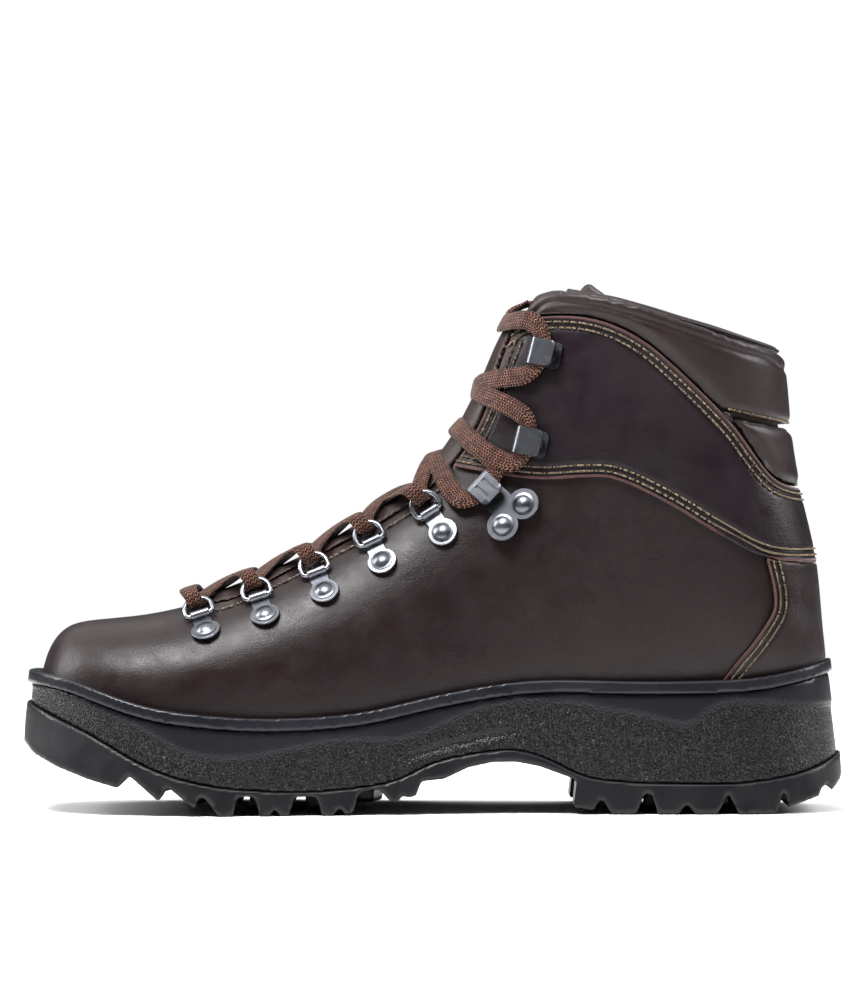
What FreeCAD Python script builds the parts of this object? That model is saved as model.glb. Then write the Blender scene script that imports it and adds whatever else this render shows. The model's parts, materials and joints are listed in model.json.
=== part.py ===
import FreeCAD, Part
import math
import os

# A right-foot leather mountaineering boot, laced, standing on level ground.
# Frame: millimetres, +Z up, toe towards -X, heel towards +X, inner (medial)
# side towards -Y, outer (lateral) side towards +Y. The origin is on the ground
# under the middle of the boot.

V = FreeCAD.Vector
os.makedirs("parts", exist_ok=True)

# ---- driving dimensions ----
LEATHER = 2.2            # upper leather
OVERLAY = 1.8            # ankle cuff and heel cover, sewn on top of the leather
STIFFENER = 1.2          # interlining, toe puff and heel stiffener
LINING = 2.0
PAD_SWELL = 2.4          # how far the collar pads stand proud of the leather
TONGUE_SWELL = 0.6
TONGUE_LEATHER = 1.6
TONGUE_GAP = 0.35        # the tongue clears the leather edges on each side
WING = 2.6               # lined wing of the tongue, inside the boot
WING_GAP = 0.3
BOARD = 2.2              # insole board
FOOTBED = 4.5
BEAD_HIGH = 4.7          # rubber bead round the top of the sole
BEAD_PROUD = 1.5
LIP_PROUD = 0.7          # outsole edge beyond the midsole wall
WALL_FLARE = 0.125       # sole wall widening per millimetre downwards
FLARE_FROM = 50.0        # height where the sole outline is drawn
EDGE_LUG = 19.0          # width of the lugs along the sole's edge
GROOVE = 5.0             # groove between edge lugs and middle lugs
GLUE_LINE = 0.2          # film of glue between midsole and outsole
LUG_FACE = 0.0           # height of the lug faces that stand on the ground
SLOT_DEEP = 7.0          # the inner layers' front slot: depth behind the throat edge
SLOT_HALF = 13.5
WIRE = 1.0               # ring wire radius
RING_HALF = 5.2
RING_SIDE = 3.0
PIN_GAP = 0.07           # running clearance of a ring in its clip
CLIP_PLATE = 1.0
CLIP_ROUND = 5.6
CLIP_LONG = 9.4          # rivet centre to ring axis
CLIP_FOLD = 1.9          # outer radius of the fold round the ring
CLIP_HALF = 3.5
SEAT = 0.35              # plates stand this far off the curved leather
RIVET_DOME = 3.8
LACE = 1.2               # lace radius as a round cord
AGLET = 1.5              # the stiff sleeve on each end of the lace
AGLET_LONG = 20.0
LACE_CLEAR = 3.3         # lace centre to ring wire centre
STRAND_GAP = 0.5         # strands of lace above the leather
HOOK_PLATE = 1.1
HOOK_HALF = 5.0
HOOK_SLOT = 3.2
HOOK_FOLD = 5.2          # where a hook's fold begins, ahead of its rivet
HOOK_BACK = 3.5
HOOK_CORNER = 2.2        # rounding of a hook's back corners
RIB_DEEP = 0.5           # the two grooves pressed into the locking hook
LOCK_TAIL = 12.0
LOCK_SPREAD = 5.5
LOCK_SEAT = 1.0
RIVET_SHANK = 1.6
RING_CORNER = 1.6
RING_TILT = 16.0         # degrees that a laced ring stands off the leather
SHANK_THICK = 1.8
SHANK_HALF = 9.0
SHANK_START = -50.0
SHANK_LONG = 122.0
FAR = 90.0               # half width of the cutting prisms

# Sections of the last, each in a plane that contains the Y direction:
# front point x, z; back point x, z; medial and lateral half widths;
# where the widest place lies; roundness of the front and back ends.
SECTIONS = [
    (-148.8, 46.5, -150.0, 36.0, 7.0, 7.0, 0.60, 2.0, 2.4),
    (-147.2, 54.5, -149.4, 34.5, 13.5, 13.0, 0.60, 2.0, 2.4),
    (-144.4, 62.0, -147.8, 33.0, 20.5, 19.5, 0.62, 2.05, 2.6),
    (-138.6, 68.4, -142.5, 30.5, 29.5, 27.5, 0.64, 2.15, 2.8),
    (-128.0, 71.2, -132.0, 28.0, 38.5, 36.0, 0.66, 2.25, 3.0),
    (-112.0, 72.8, -115.0, 24.0, 44.8, 42.8, 0.68, 2.3, 3.3),
    (-93.0, 76.6, -92.0, 21.0, 47.0, 47.0, 0.68, 2.3, 3.4),
    (-73.0, 83.6, -66.0, 20.0, 46.5, 48.5, 0.68, 2.3, 3.4),
    (-50.0, 93.6, -36.0, 21.0, 43.0, 47.5, 0.68, 2.3, 3.2),
    (-28.0, 106.3, -3.0, 24.0, 39.0, 44.0, 0.66, 2.3, 3.1),
    (-9.0, 120.0, 34.0, 28.0, 36.0, 40.0, 0.64, 2.35, 3.1),
    (3.0, 132.5, 74.0, 28.0, 35.0, 38.0, 0.62, 2.4, 3.1),
    (11.0, 144.5, 116.0, 29.0, 35.0, 37.0, 0.60, 2.45, 3.1),
    (16.5, 155.0, 145.0, 43.0, 35.5, 36.5, 0.58, 2.5, 3.0),
    (20.5, 163.5, 146.4, 68.0, 35.5, 36.0, 0.57, 2.5, 2.7),
    (24.5, 173.0, 143.5, 96.0, 35.5, 35.5, 0.56, 2.5, 2.4),
    (29.0, 182.0, 138.2, 119.0, 35.5, 35.5, 0.55, 2.4, 2.25),
    (34.5, 191.0, 134.0, 142.0, 36.5, 36.5, 0.55, 2.3, 2.2),
    (41.5, 202.0, 132.0, 163.0, 37.5, 37.5, 0.55, 2.2, 2.2),
    (50.0, 215.0, 131.0, 184.0, 38.0, 38.0, 0.55, 2.1, 2.2),
]
HALF_POINTS = 12
# Share of a growth that moves the toe's own sections forward.
TOE_PULL = {0: 1.0, 1: 0.85, 2: 0.6, 3: 0.3, 4: 0.1}

# Side-view lines of the boot, each a smooth curve through x, z points.
FEATHER = [(-165, 43), (-150, 43), (-137, 41), (-120, 35), (-103, 30), (-85, 27.5),
           (-65, 26.5), (-44, 27), (-22, 29), (-5, 33), (16, 37), (38, 40),
           (70, 40), (102, 40), (124, 41.5), (148, 46.5), (165, 50)]
BEAD = [(-165, 50.5), (-150, 50.1), (-137, 47.9), (-119.5, 41.9), (-102, 37),
        (-85, 34.7), (-65.5, 33.4), (-44, 33.8), (-22.5, 36.2), (-5, 40.2),
        (16.5, 44.5), (38, 47.1), (70, 46.8), (102, 47), (123.5, 48.5),
        (148, 53.9), (165, 57.5)]
PARTING = [(-165, 45.5), (-154, 41.6), (-141, 36), (-125, 28.5), (-108.5, 19.3),
           (-98, 15), (-82, 11), (-65.5, 9.3), (-44, 8.8), (-28, 10.1),
           (-11.5, 13.6), (-1, 18.6), (10, 21.6), (22, 23.4), (32, 23.6),
           (44, 19.8), (54, 15), (66, 12.4), (91, 11.3), (112, 11.3),
           (127, 13), (141, 16.3), (154, 22), (165, 27)]
THROAT = [(-95, 79.5), (-89, 77.9), (-79.6, 78.2), (-59, 87), (-40, 96.8),
          (-19, 108), (-5, 117.4), (7, 129), (15.5, 141.5), (21.5, 155),
          (25.5, 168), (29.5, 178), (34.5, 187), (42, 199)]
CUFF_TOP = [(20, 172), (27.5, 179.5), (33, 183.4), (40, 185.2), (49, 185.5),
            (57, 184.7), (65, 182.6), (72.5, 179.3), (80.5, 174.3), (88.5, 167.6),
            (104, 152.8), (113.5, 142.6), (120, 133.8), (128, 124.7),
            (135, 121.7), (155, 121)]
CUFF_BOTTOM = [(0, 131), (14, 128), (28, 125.6), (41, 124.3), (57, 125.1),
               (65, 124.9), (72.5, 122.6), (88.5, 114.7), (104, 105.3), (120, 96.6),
               (130, 94), (160, 94)]
COLLAR_TOP = [(20, 178), (30, 183), (34.5, 190), (42, 194.8), (55, 194.2),
              (66, 192), (83, 187), (100, 181.2), (117, 175.6), (127, 173),
              (133.5, 169.5), (140, 160)]
PAD_SEAM = [(106, 149.4), (113, 148.1), (122, 146.3), (132, 144.6), (150, 142)]
COVER_EDGE = [(123.5, 98), (125.7, 89.5), (127.3, 81), (127, 75.5), (124, 70),
              (119.5, 63.6), (112.4, 55), (105, 45), (99, 36)]
WING_EDGE = [(-72, 66), (-45, 76), (-15, 92), (15, 112), (36, 140), (52, 168),
             (66.5, 192)]
WING_TOP = [(24, 182.5), (34, 185.5), (44, 189.5), (54.5, 193.2)]
WING_TIP = [(54.5, 193.2), (56.3, 196.6), (58, 197.8), (60.5, 196.6)]

# Plan outline of the sole at the bead's height, round from the toe by the
# medial side to the heel and back by the lateral side.
SOLE_PLAN = [(-151.8, 0), (-151, -11), (-148.2, -22), (-142, -32.5), (-131.5, -41.6),
             (-116.5, -48.6), (-98, -52), (-74, -51.3), (-46, -46.8), (-16, -42.6),
             (14, -39.4), (46, -37.8), (78, -38), (106, -37.8), (128, -35.2),
             (142, -27.6), (148.4, -14), (150, 0), (148.4, 14), (142, 28),
             (128, 35.8), (106, 38.8), (78, 40), (46, 41.4), (14, 44), (-16, 48),
             (-46, 51.2), (-72, 52), (-97, 51), (-116.5, 46.8), (-131.5, 39.8),
             (-142, 31), (-148.2, 21), (-151, 10.5)]

# Lugs in side view, from the groove line down to the ground.
LUGS = [
    [(-113, 16), (-112.4, 14.9), (-101.2, 5.3), (-98, 10.7), (-97, 13)],
    [(-99, 13), (-98, 10.7), (-87.7, 2.6), (-85.6, 8.2), (-85, 10)],
    [(-86, 10), (-85.6, 8.2), (-79, 0), (-73.7, 0), (-72.1, 7.1), (-72, 9)],
    [(-66.5, 9), (-66.1, 7.1), (-64, 0), (-60.2, 0), (-58.3, 2.8), (-56.5, 0),
     (-53.2, 0), (-51, 6.9), (-51, 9)],
    [(-43, 9), (-43, 6.9), (-41, 0), (-36.5, 0), (-34.6, 3.7), (-32.7, 0.4),
     (-29.5, 1), (-27.3, 8.5), (-27, 10)],
    [(-20.5, 11), (-20.3, 9.6), (-15.5, 4.7), (-13, 4.7), (-11.2, 7.4),
     (-9.5, 6.2), (-6.3, 6.9), (-4.2, 12.3), (-4, 14)],
    [(54.5, 14), (53.4, 12.6), (52.2, 2.6), (59.6, 1.4), (62.4, 6.2), (66.4, 0),
     (75.4, 0), (78.6, 7.3), (79, 9)],
    [(80.8, 9), (81.1, 7.1), (83.6, 0), (91.2, 0), (94.3, 4.1), (97.3, 0),
     (105.5, 0), (108.8, 5.5), (109, 9)],
    [(110.4, 9), (110.6, 5.5), (113.8, 0), (127.8, 0), (129.3, 4.7), (129.5, 9)],
    [(131.2, 9), (131.4, 4.7), (132.1, 2.3), (144, 6.2), (145.4, 9.6),
     (147.8, 10.2), (149, 7.7), (153.3, 11.6), (158, 22), (150, 18)],
]
# Bottom of the outsole between the lugs.
GROOVE_LINE = [(-160, 26), (-154, 26), (-149.5, 22), (-140, 17.5), (-127.3, 13),
               (-116.4, 10.1), (-112.4, 14.9), (-98, 10.7), (-85.6, 8.2),
               (-72, 7.1), (-51, 6.9), (-43, 6.9), (-27.3, 8.5), (-20.3, 9.6),
               (-4.2, 12.3), (4, 13), (12.9, 17.2), (22, 19.2), (31, 19.3),
               (39.4, 17.7), (53.4, 12.6), (57, 7.4), (129, 7.4), (144, 9.6),
               (153.3, 14), (160, 20)]
# Lowest points of the tread along the boot.
TIP_LINE = [(-154, 22), (-112, 10), (-101, 5.8), (-88, 3.1), (-79, 0.4), (-34, 0.4),
            (-15, 5.2), (52, 2.8), (58, 0.4), (128, 0.4), (154, 11)]
# Middle lugs: x start, x end, half width.
MIDDLE_LUGS = [(-108, -98, 20), (-92, -82, 22), (-69, -56, 22), (-48, -37, 20),
               (-30, -19, 17), (60, 72, 9), (80, 92, 10), (100, 112, 9)]

# Hardware places in side view: rivet centre and the middle of the ring's bar.
RING_PLACES = [
    ((-84.5, 67.5), (-87.6, 74.4)),
    ((-62.4, 73.4), (-65.8, 81.2)),
    ((-40.3, 82.1), (-44.0, 90.2)),
    ((-18.8, 93.3), (-22.8, 100.8)),
    ((3.9, 104.3), (-1.2, 112.0)),
]
LOCK_PLACE = ((22.3, 118.1), (14.9, 125.0))
HOOK_PLACES = [((38.8, 137.4), (28.8, 139.6)), ((44.3, 170.6), (34.3, 172.6))]
SIDES = (("medial", -1), ("lateral", 1))


# ---- helpers ----
def curve(points):
    """A smooth edge through side-view points."""
    spline = Part.BSplineCurve()
    spline.interpolate(Points=[V(x, 0, z) for x, z in points])
    return spline.toShape()


def straight(points):
    return [Part.LineSegment(V(a[0], 0, a[1]), V(b[0], 0, b[1])).toShape()
            for a, b in zip(points, points[1:])]


def prism(edges):
    """The closed side-view outline, made solid right across the boot."""
    wire = Part.Wire(Part.__sortEdges__(edges))
    face = Part.Face(wire)
    face.translate(V(0, -FAR, 0))
    return face.extrude(V(0, 2 * FAR, 0))


def above(points, top=260.0):
    """Everything above a curved side-view line."""
    a, b = points[0], points[-1]
    return prism([curve(points)] + straight([b, (b[0], top), (a[0], top), a]))


def shifted(points, dz):
    return [(x, z + dz) for x, z in points]


def only_solid(shape):
    """The largest solid of a result."""
    return max(shape.Solids, key=lambda s: s.Volume)


def save(name, shape):
    shape.exportStep("parts/" + name + ".step")
    print("%-26s %2d solid %9.0f mm3 %s" % (name, len(shape.Solids), shape.Volume,
                                            "" if shape.isValid() else "INVALID"))


# ---- the last and its offsets ----
def section_half(section, grow, side):
    fx, fz, bx, bz, medial, lateral, widest, front_n, back_n = section
    length = math.hypot(bx - fx, bz - fz)
    ux, uz = (bx - fx) / length, (bz - fz) / length
    fx, fz, bx, bz = fx - ux * grow, fz - uz * grow, bx + ux * grow, bz + uz * grow
    pull = grow * TOE_PULL.get(SECTIONS.index(section), 0.0)
    fx, bx = fx - pull, bx - pull
    half = (medial if side < 0 else lateral) + grow
    points = []
    for i in range(HALF_POINTS + 1):
        angle = math.pi * i / HALF_POINTS
        front = angle <= math.pi / 2
        power = 2 / (front_n if front else back_n)
        reach = abs(math.cos(angle)) ** power
        along = widest * (1 - reach) if front else widest + (1 - widest) * reach
        out = 0.0 if i in (0, HALF_POINTS) else half * math.sin(angle) ** power
        points.append(V(fx + (bx - fx) * along, side * out, fz + (bz - fz) * along))
    spline = Part.BSplineCurve()
    spline.interpolate(Points=points, Parameters=[i / HALF_POINTS for i in
                                                  range(HALF_POINTS + 1)],
                       Scale=False,
                       InitialTangent=V(0, points[1].y * HALF_POINTS, 0),
                       FinalTangent=V(0, -points[-2].y * HALF_POINTS, 0))
    return spline.toShape()


def form(grow):
    """The last, grown outwards by a distance, from the toe to above the collar."""
    wires = [Part.Wire([section_half(s, grow, -1), section_half(s, grow, 1)])
             for s in SECTIONS]
    return Part.makeLoft(wires, True, False)


SKIN = form(0.0)
OVER = form(OVERLAY)
UNDER = form(-LEATHER)
STIFF = form(-LEATHER - STIFFENER)
FOOT = form(-LEATHER - STIFFENER - LINING)
LEATHER_SHELL = SKIN.cut(UNDER)
OVERLAY_SHELL = OVER.cut(SKIN)
STIFF_SHELL = UNDER.cut(STIFF)
LINING_SHELL = STIFF.cut(FOOT)


def skin_point(x, z, side, surface=SKIN):
    """Where a line across the boot at x, z meets its outer surface."""
    ray = Part.LineSegment(V(x, 0, z), V(x, side * 70, z)).toShape()
    hits = surface.Shells[0].section(ray).Vertexes
    return max((v.Point for v in hits), key=lambda p: abs(p.y))


def skin_normal(x, z, side, surface=SKIN):
    step = 1.5
    a = skin_point(x + step, z, side, surface) - skin_point(x - step, z, side, surface)
    b = skin_point(x, z + step, side, surface) - skin_point(x, z - step, side, surface)
    normal = a.cross(b).normalize()
    return normal if normal.y * side > 0 else normal * -1


# ---- upper ----
def region_upper():
    """Side view of the quarters and vamp: feather line, cuff top and throat."""
    ground = curve(FEATHER)
    back = straight([FEATHER[-1], (165, 121), CUFF_TOP[-1]])
    top = curve(CUFF_TOP)
    lid = straight([CUFF_TOP[0], (20, 260), (-165, 260), FEATHER[0]])
    return prism([ground] + back + [top] + lid)


def throat_space(gap):
    """The space in front of and above the throat edge."""
    line = curve([(x + gap * 0.6, z - gap * 0.8) for x, z in THROAT])
    start = (THROAT[0][0] + gap * 0.6, THROAT[0][1] - gap * 0.8)
    end = (THROAT[-1][0] + gap * 0.6, THROAT[-1][1] - gap * 0.8)
    return prism([line] + straight([end, (end[0], 260), (-120, 260), (-120, 90),
                                    start]))


def layer(shell, region, hole=None):
    solid = shell.common(region)
    return solid if hole is None else solid.cut(hole)


THROAT_CUT = throat_space(0.0)
# The soft layers are also open down the middle, behind the leather's edge.
SLOT_CUT = throat_space(SLOT_DEEP).common(
    Part.makeBox(400.0, 2 * SLOT_HALF, 300.0, V(-200.0, -SLOT_HALF, 0.0)))


def vamp_and_quarters():
    """The main leather: vamp and both quarters in one piece, open at the throat."""
    return only_solid(layer(LEATHER_SHELL, region_upper(), THROAT_CUT))


def region_cover():
    top = (CUFF_BOTTOM[-1][0], 96)
    edge = curve(COVER_EDGE)
    ground = straight([COVER_EDGE[-1], (165, 36), top, (123.5, 98)])
    return prism([edge] + ground).common(above(FEATHER))


def region_cuff():
    low = curve(CUFF_BOTTOM)
    high = curve(CUFF_TOP)
    back = straight([CUFF_BOTTOM[-1], (160, 121), CUFF_TOP[-1]])
    front = straight([CUFF_TOP[0], (0, 172), CUFF_BOTTOM[0]])
    return prism([low] + back + [high] + front)


def ankle_cuff():
    return only_solid(layer(OVERLAY_SHELL, region_cuff(), THROAT_CUT))


def counter_cover(cuff):
    return only_solid(layer(OVERLAY_SHELL, region_cover()).cut(cuff))


def region_collar():
    high = curve(COLLAR_TOP)
    low = curve(CUFF_TOP)
    back = straight([CUFF_TOP[-1], (155, 160), COLLAR_TOP[-1]])
    front = straight([CUFF_TOP[0], COLLAR_TOP[0]])
    return prism([low] + back + [high] + front)


def collar_pads():
    """Two soft pads above the cuff: a large one and a small one behind the heel."""
    puffed = form(PAD_SWELL)
    ring = layer(puffed.cut(UNDER), region_collar(), THROAT_CUT).cut(SLOT_CUT)
    seam = curve(PAD_SEAM)
    heel_part = prism([seam] + straight([PAD_SEAM[-1], (150, 110), (106, 110),
                                         PAD_SEAM[0]]))
    return only_solid(ring.cut(heel_part)), only_solid(ring.common(heel_part))


def inside_region():
    """Side view of the inner layers: feather line up to just under the collar top."""
    ground = curve(FEATHER)
    rim = curve(COLLAR_TOP)
    back = straight([FEATHER[-1], (165, 160), COLLAR_TOP[-1]])
    front = straight([COLLAR_TOP[0], (-165, 178), FEATHER[0]])
    return prism([ground] + back + [rim] + front)


def inner_layers():
    """Interlining between leather and lining, then the lining itself."""
    toe = prism(straight([(-165, 20), (-98, 20), (-104, 90), (-165, 90), (-165, 20)]))
    heel = prism(straight([(72, 20), (165, 20), (165, 92), (108, 92), (72, 62),
                           (72, 20)]))
    sheet = layer(STIFF_SHELL, region_upper(), THROAT_CUT).cut(SLOT_CUT)
    toe_puff = only_solid(sheet.common(toe))
    heel_stiffener = only_solid(sheet.common(heel))
    interlining = only_solid(sheet.cut(toe).cut(heel))
    lining = only_solid(layer(LINING_SHELL, inside_region(), THROAT_CUT).cut(SLOT_CUT))
    return toe_puff, heel_stiffener, interlining, lining


def tongue(vamp):
    """Leather face and foam in the throat, and the lined wings inside."""
    space = throat_space(-TONGUE_GAP)
    slot = throat_space(SLOT_DEEP - 1.0).common(
        Part.makeBox(400.0, 2 * SLOT_HALF - 2 * TONGUE_GAP, 300.0,
                     V(-200.0, TONGUE_GAP - SLOT_HALF, 0.0)))
    top = above([(-165, 184), (30, 184.5), (60, 190), (165, 200)])
    body = form(TONGUE_SWELL).cut(top)
    toe_end = prism(straight([(-165, 20), (-88.5, 20), (-88.5, 215), (-165, 215),
                              (-165, 20)]))
    body = body.cut(toe_end)
    inner = form(TONGUE_SWELL - TONGUE_LEATHER)
    face = only_solid(body.common(space).cut(inner))
    foam = only_solid(body.common(inner).common(space.fuse(slot)).cut(FOOT).cut(vamp))
    edge = curve(WING_EDGE)
    ceiling = [curve(WING_TOP), curve(WING_TIP)]
    shell = prism([edge] + ceiling +
                  straight([WING_TIP[-1], WING_EDGE[-1]]) +
                  straight([WING_TOP[0], (-60, 182.5), (-72, 110), WING_EDGE[0]]))
    depth = LEATHER + STIFFENER + LINING + WING_GAP
    wings = only_solid(form(-depth).common(shell).cut(form(-depth - WING)))
    return face, foam, wings


# ---- sole ----
def plan_wire(z, grow):
    """The sole's plan outline at a height, with its flare and a growth."""
    out = (FLARE_FROM - z) * WALL_FLARE + grow
    points = []
    for i, (x, y) in enumerate(SOLE_PLAN):
        ax, ay = SOLE_PLAN[i - 1]
        bx, by = SOLE_PLAN[(i + 1) % len(SOLE_PLAN)]
        length = math.hypot(bx - ax, by - ay)
        points.append(V(x + (by - ay) / length * out, y - (bx - ax) / length * out, z))
    spline = Part.BSplineCurve()
    spline.interpolate(Points=points, PeriodicFlag=True)
    return Part.Wire(spline.toShape())


def block(grow):
    """The sole's outer form, flared, from under the ground to above the bead."""
    return Part.makeLoft([plan_wire(-4.0, grow), plan_wire(66.0, grow)], True, True)


def core(inset):
    """The middle of the sole's plan, straight sided."""
    inner = plan_wire(FLARE_FROM, -inset)
    inner.translate(V(0, 0, -10.0 - FLARE_FROM))
    return Part.Face(inner).extrude(V(0, 0, 70.0))


def between(low, high):
    """The side-view band between two smooth lines."""
    return prism([curve(low), curve(high)] + straight([low[-1], high[-1]]) +
                 straight([low[0], high[0]]))


def height_on(line, x):
    for (ax, az), (bx, bz) in zip(line, line[1:]):
        if ax <= x <= bx:
            return az + (bz - az) * (x - ax) / (bx - ax)
    return line[-1][1]


def shank():
    """The stiffening strip let into the top of the midsole under the arch."""
    strip = between(shifted(FEATHER, -SHANK_THICK), FEATHER)
    return strip.common(Part.makeBox(SHANK_LONG, 2 * SHANK_HALF, 60.0,
                                     V(SHANK_START, -SHANK_HALF, 10.0)))


def sole(foot_hole, cover_solid):
    """Midsole cup and the rubber bead round its rim."""
    rim = shifted(BEAD, -BEAD_HIGH / 2)
    cup = block(0.0).common(between(PARTING, rim))
    cup = cup.cut(foot_hole).cut(cover_solid)
    strip = shank()
    cup = only_solid(cup.cut(strip))
    bead = block(BEAD_PROUD).common(between(rim, shifted(BEAD, BEAD_HIGH / 2)))
    bead = only_solid(bead.cut(foot_hole).cut(cover_solid))
    return cup, bead, strip


def middle_lug(x0, x1, half):
    """One arrow-shaped lug in the middle of the tread."""
    low = max(height_on(TIP_LINE, (x0 + x1) / 2), LUG_FACE)
    high = min(height_on(GROOVE_LINE, x) for x in (x0, x1)) + 1.5
    nib = 3.5
    outline = [(x0, -half), (x1 - nib, -half), (x1, 0), (x1 - nib, half), (x0, half),
               (x0 + nib, 0), (x0, -half)]
    wire = Part.makePolygon([V(x, y, low) for x, y in outline])
    return Part.Face(wire).extrude(V(0, 0, high - low))


def outsole():
    """Tread base, the lugs along both edges and the lugs down the middle."""
    body = block(LIP_PROUD).common(Part.makeBox(308.0, 200.0, 80.0, V(-154, -100, 0)))
    top = shifted(PARTING, -GLUE_LINE)
    base = prism([curve(top)] + straight(GROOVE_LINE) +
                 straight([GROOVE_LINE[-1], top[-1]]) +
                 straight([GROOVE_LINE[0], top[0]]))
    tread = body.common(base)
    under = prism([curve(top)] +
                  straight([top[-1], (top[-1][0], -9.0), (top[0][0], -9.0), top[0]]))
    band = body.cut(core(EDGE_LUG)).common(under)
    teeth = [band.common(prism(straight(lug + [lug[0]]))) for lug in LUGS]
    middle = [middle_lug(*lug).common(core(EDGE_LUG + GROOVE)) for lug in MIDDLE_LUGS]
    return only_solid(tread.fuse(teeth + middle).removeSplitter())


def insole():
    """Insole board and the footbed that lies on it."""
    top = shifted(FEATHER, BOARD)
    board = only_solid(FOOT.common(between(FEATHER, top)))
    bed = only_solid(FOOT.common(between(top, shifted(FEATHER, BOARD + FOOTBED))))
    return board, bed


# ---- hardware ----
def frame_at(place, side, surface, seat):
    """Frame of a fitting: X along the throat, Y towards it, Z out of the leather."""
    (ax, az), (bx, bz) = place
    a, b = skin_point(ax, az, side, surface), skin_point(bx, bz, side, surface)
    out = (skin_normal(ax, az, side, surface) + skin_normal(bx, bz, side, surface))
    toward = (b - a).normalize()
    out = (out - toward * out.dot(toward)).normalize()
    along = toward.cross(out)
    o = a + out * seat
    return FreeCAD.Matrix(along.x, toward.x, out.x, o.x, along.y, toward.y, out.y, o.y,
                          along.z, toward.z, out.z, o.z, 0, 0, 0, 1)


def put(shape, matrix):
    placed = shape.copy()
    placed.Placement = FreeCAD.Placement(matrix)
    return placed


def rivet(dome, seat_depth):
    """A domed rivet: cap and flange on the plate, shank through the leather."""
    high = dome * 0.42
    ball = (dome * dome + high * high) / (2 * high)
    cap = Part.makeSphere(ball, V(0, 0, CLIP_PLATE + high - ball))
    cap = cap.common(Part.makeCylinder(dome, high + 1, V(0, 0, CLIP_PLATE)))
    flange = Part.makeCylinder(dome + 0.4, 0.35, V(0, 0, CLIP_PLATE))
    shank_part = Part.makeCylinder(RIVET_SHANK, seat_depth + CLIP_PLATE,
                                   V(0, 0, -seat_depth))
    return cap.fuse([flange, shank_part]).removeSplitter()


def clip():
    """The ring's clip: a round plate, a neck and the fold round the ring."""
    plate = Part.makeCylinder(CLIP_ROUND, CLIP_PLATE)
    neck = Part.makeBox(2 * CLIP_HALF, CLIP_LONG, CLIP_PLATE, V(-CLIP_HALF, 0, 0))
    fold = Part.makeCylinder(CLIP_FOLD, 2 * CLIP_HALF,
                             V(-CLIP_HALF, CLIP_LONG, CLIP_FOLD), V(1, 0, 0))
    bore = Part.makeCylinder(WIRE + PIN_GAP, 2 * CLIP_HALF + 2,
                             V(-CLIP_HALF - 1, CLIP_LONG, CLIP_FOLD), V(1, 0, 0))
    hole = Part.makeCylinder(RIVET_SHANK, 4, V(0, 0, -1))
    return plate.fuse([neck, fold]).cut(bore).cut(hole).removeSplitter()


def arc_tube(centre, start, degrees, radius):
    """A bend of round wire in the ring's plane."""
    spoke = (start - centre).normalize()
    heading = V(0, 0, 1).cross(spoke)
    disc = Part.Face(Part.Wire(Part.makeCircle(radius, start, heading)))
    return disc.revolve(centre, V(0, 0, 1), degrees)


def rod(a, b, radius):
    return Part.makeCylinder(radius, (b - a).Length, a, b - a)


def d_ring():
    """A D of round wire: straight bar on the X axis, bow towards +Y."""
    h, r, s = RING_HALF, RING_CORNER, RING_SIDE
    parts = [rod(V(-h + r, 0, 0), V(h - r, 0, 0), WIRE),
             arc_tube(V(h - r, r, 0), V(h - r, 0, 0), 90, WIRE),
             rod(V(h, r, 0), V(h, s, 0), WIRE),
             arc_tube(V(0, s, 0), V(h, s, 0), 180, WIRE),
             rod(V(-h, s, 0), V(-h, r, 0), WIRE),
             arc_tube(V(-h + r, r, 0), V(-h, r, 0), 90, WIRE)]
    return parts[0].fuse(parts[1:]).removeSplitter()


def round_corners(plate, y):
    """Rounds the two corners of a hook's plate at its back end."""
    corners = [e for e in plate.Edges
               if all(abs(v.Y - y) < 1e-6 for v in e.Vertexes)
               and abs(e.Vertexes[0].X - e.Vertexes[-1].X) < 1e-6]
    return plate.makeFillet(HOOK_CORNER, corners)


def hook(tail):
    """A lace hook: base plate, fold towards the throat and outer plate."""
    gap = HOOK_SLOT / 2
    outer = gap + HOOK_PLATE
    front = V(-HOOK_HALF, HOOK_FOLD, outer)
    fold = Part.makeCylinder(outer, 2 * HOOK_HALF, front, V(1, 0, 0))
    inner = Part.makeCylinder(gap, 2 * HOOK_HALF + 2, front - V(1, 0, 0), V(1, 0, 0))
    ahead = Part.makeBox(2 * HOOK_HALF, outer, 2 * outer,
                         V(-HOOK_HALF, HOOK_FOLD, 0))
    bend = fold.cut(inner).common(ahead)
    base = Part.makeBox(2 * HOOK_HALF, HOOK_FOLD + tail, HOOK_PLATE,
                        V(-HOOK_HALF, -tail, 0))
    lid = Part.makeBox(2 * HOOK_HALF, HOOK_FOLD + HOOK_BACK, HOOK_PLATE,
                       V(-HOOK_HALF, -HOOK_BACK, HOOK_PLATE + HOOK_SLOT))
    base, lid = round_corners(base, -tail), round_corners(lid, -HOOK_BACK)
    return base.fuse([bend, lid]).removeSplitter()


def lace_hook():
    """An upper hook, with the hole for its flat rivet."""
    hole = Part.makeCylinder(RIVET_SHANK, 4, V(0, 0, -1))
    return hook(HOOK_BACK + 1.0).cut(hole)


def flat_rivet(seat_depth):
    head = Part.makeCylinder(2.8, 0.5, V(0, 0, HOOK_PLATE))
    pin = Part.makeCylinder(RIVET_SHANK, seat_depth + HOOK_PLATE, V(0, 0, -seat_depth))
    return head.fuse(pin).removeSplitter()


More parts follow.
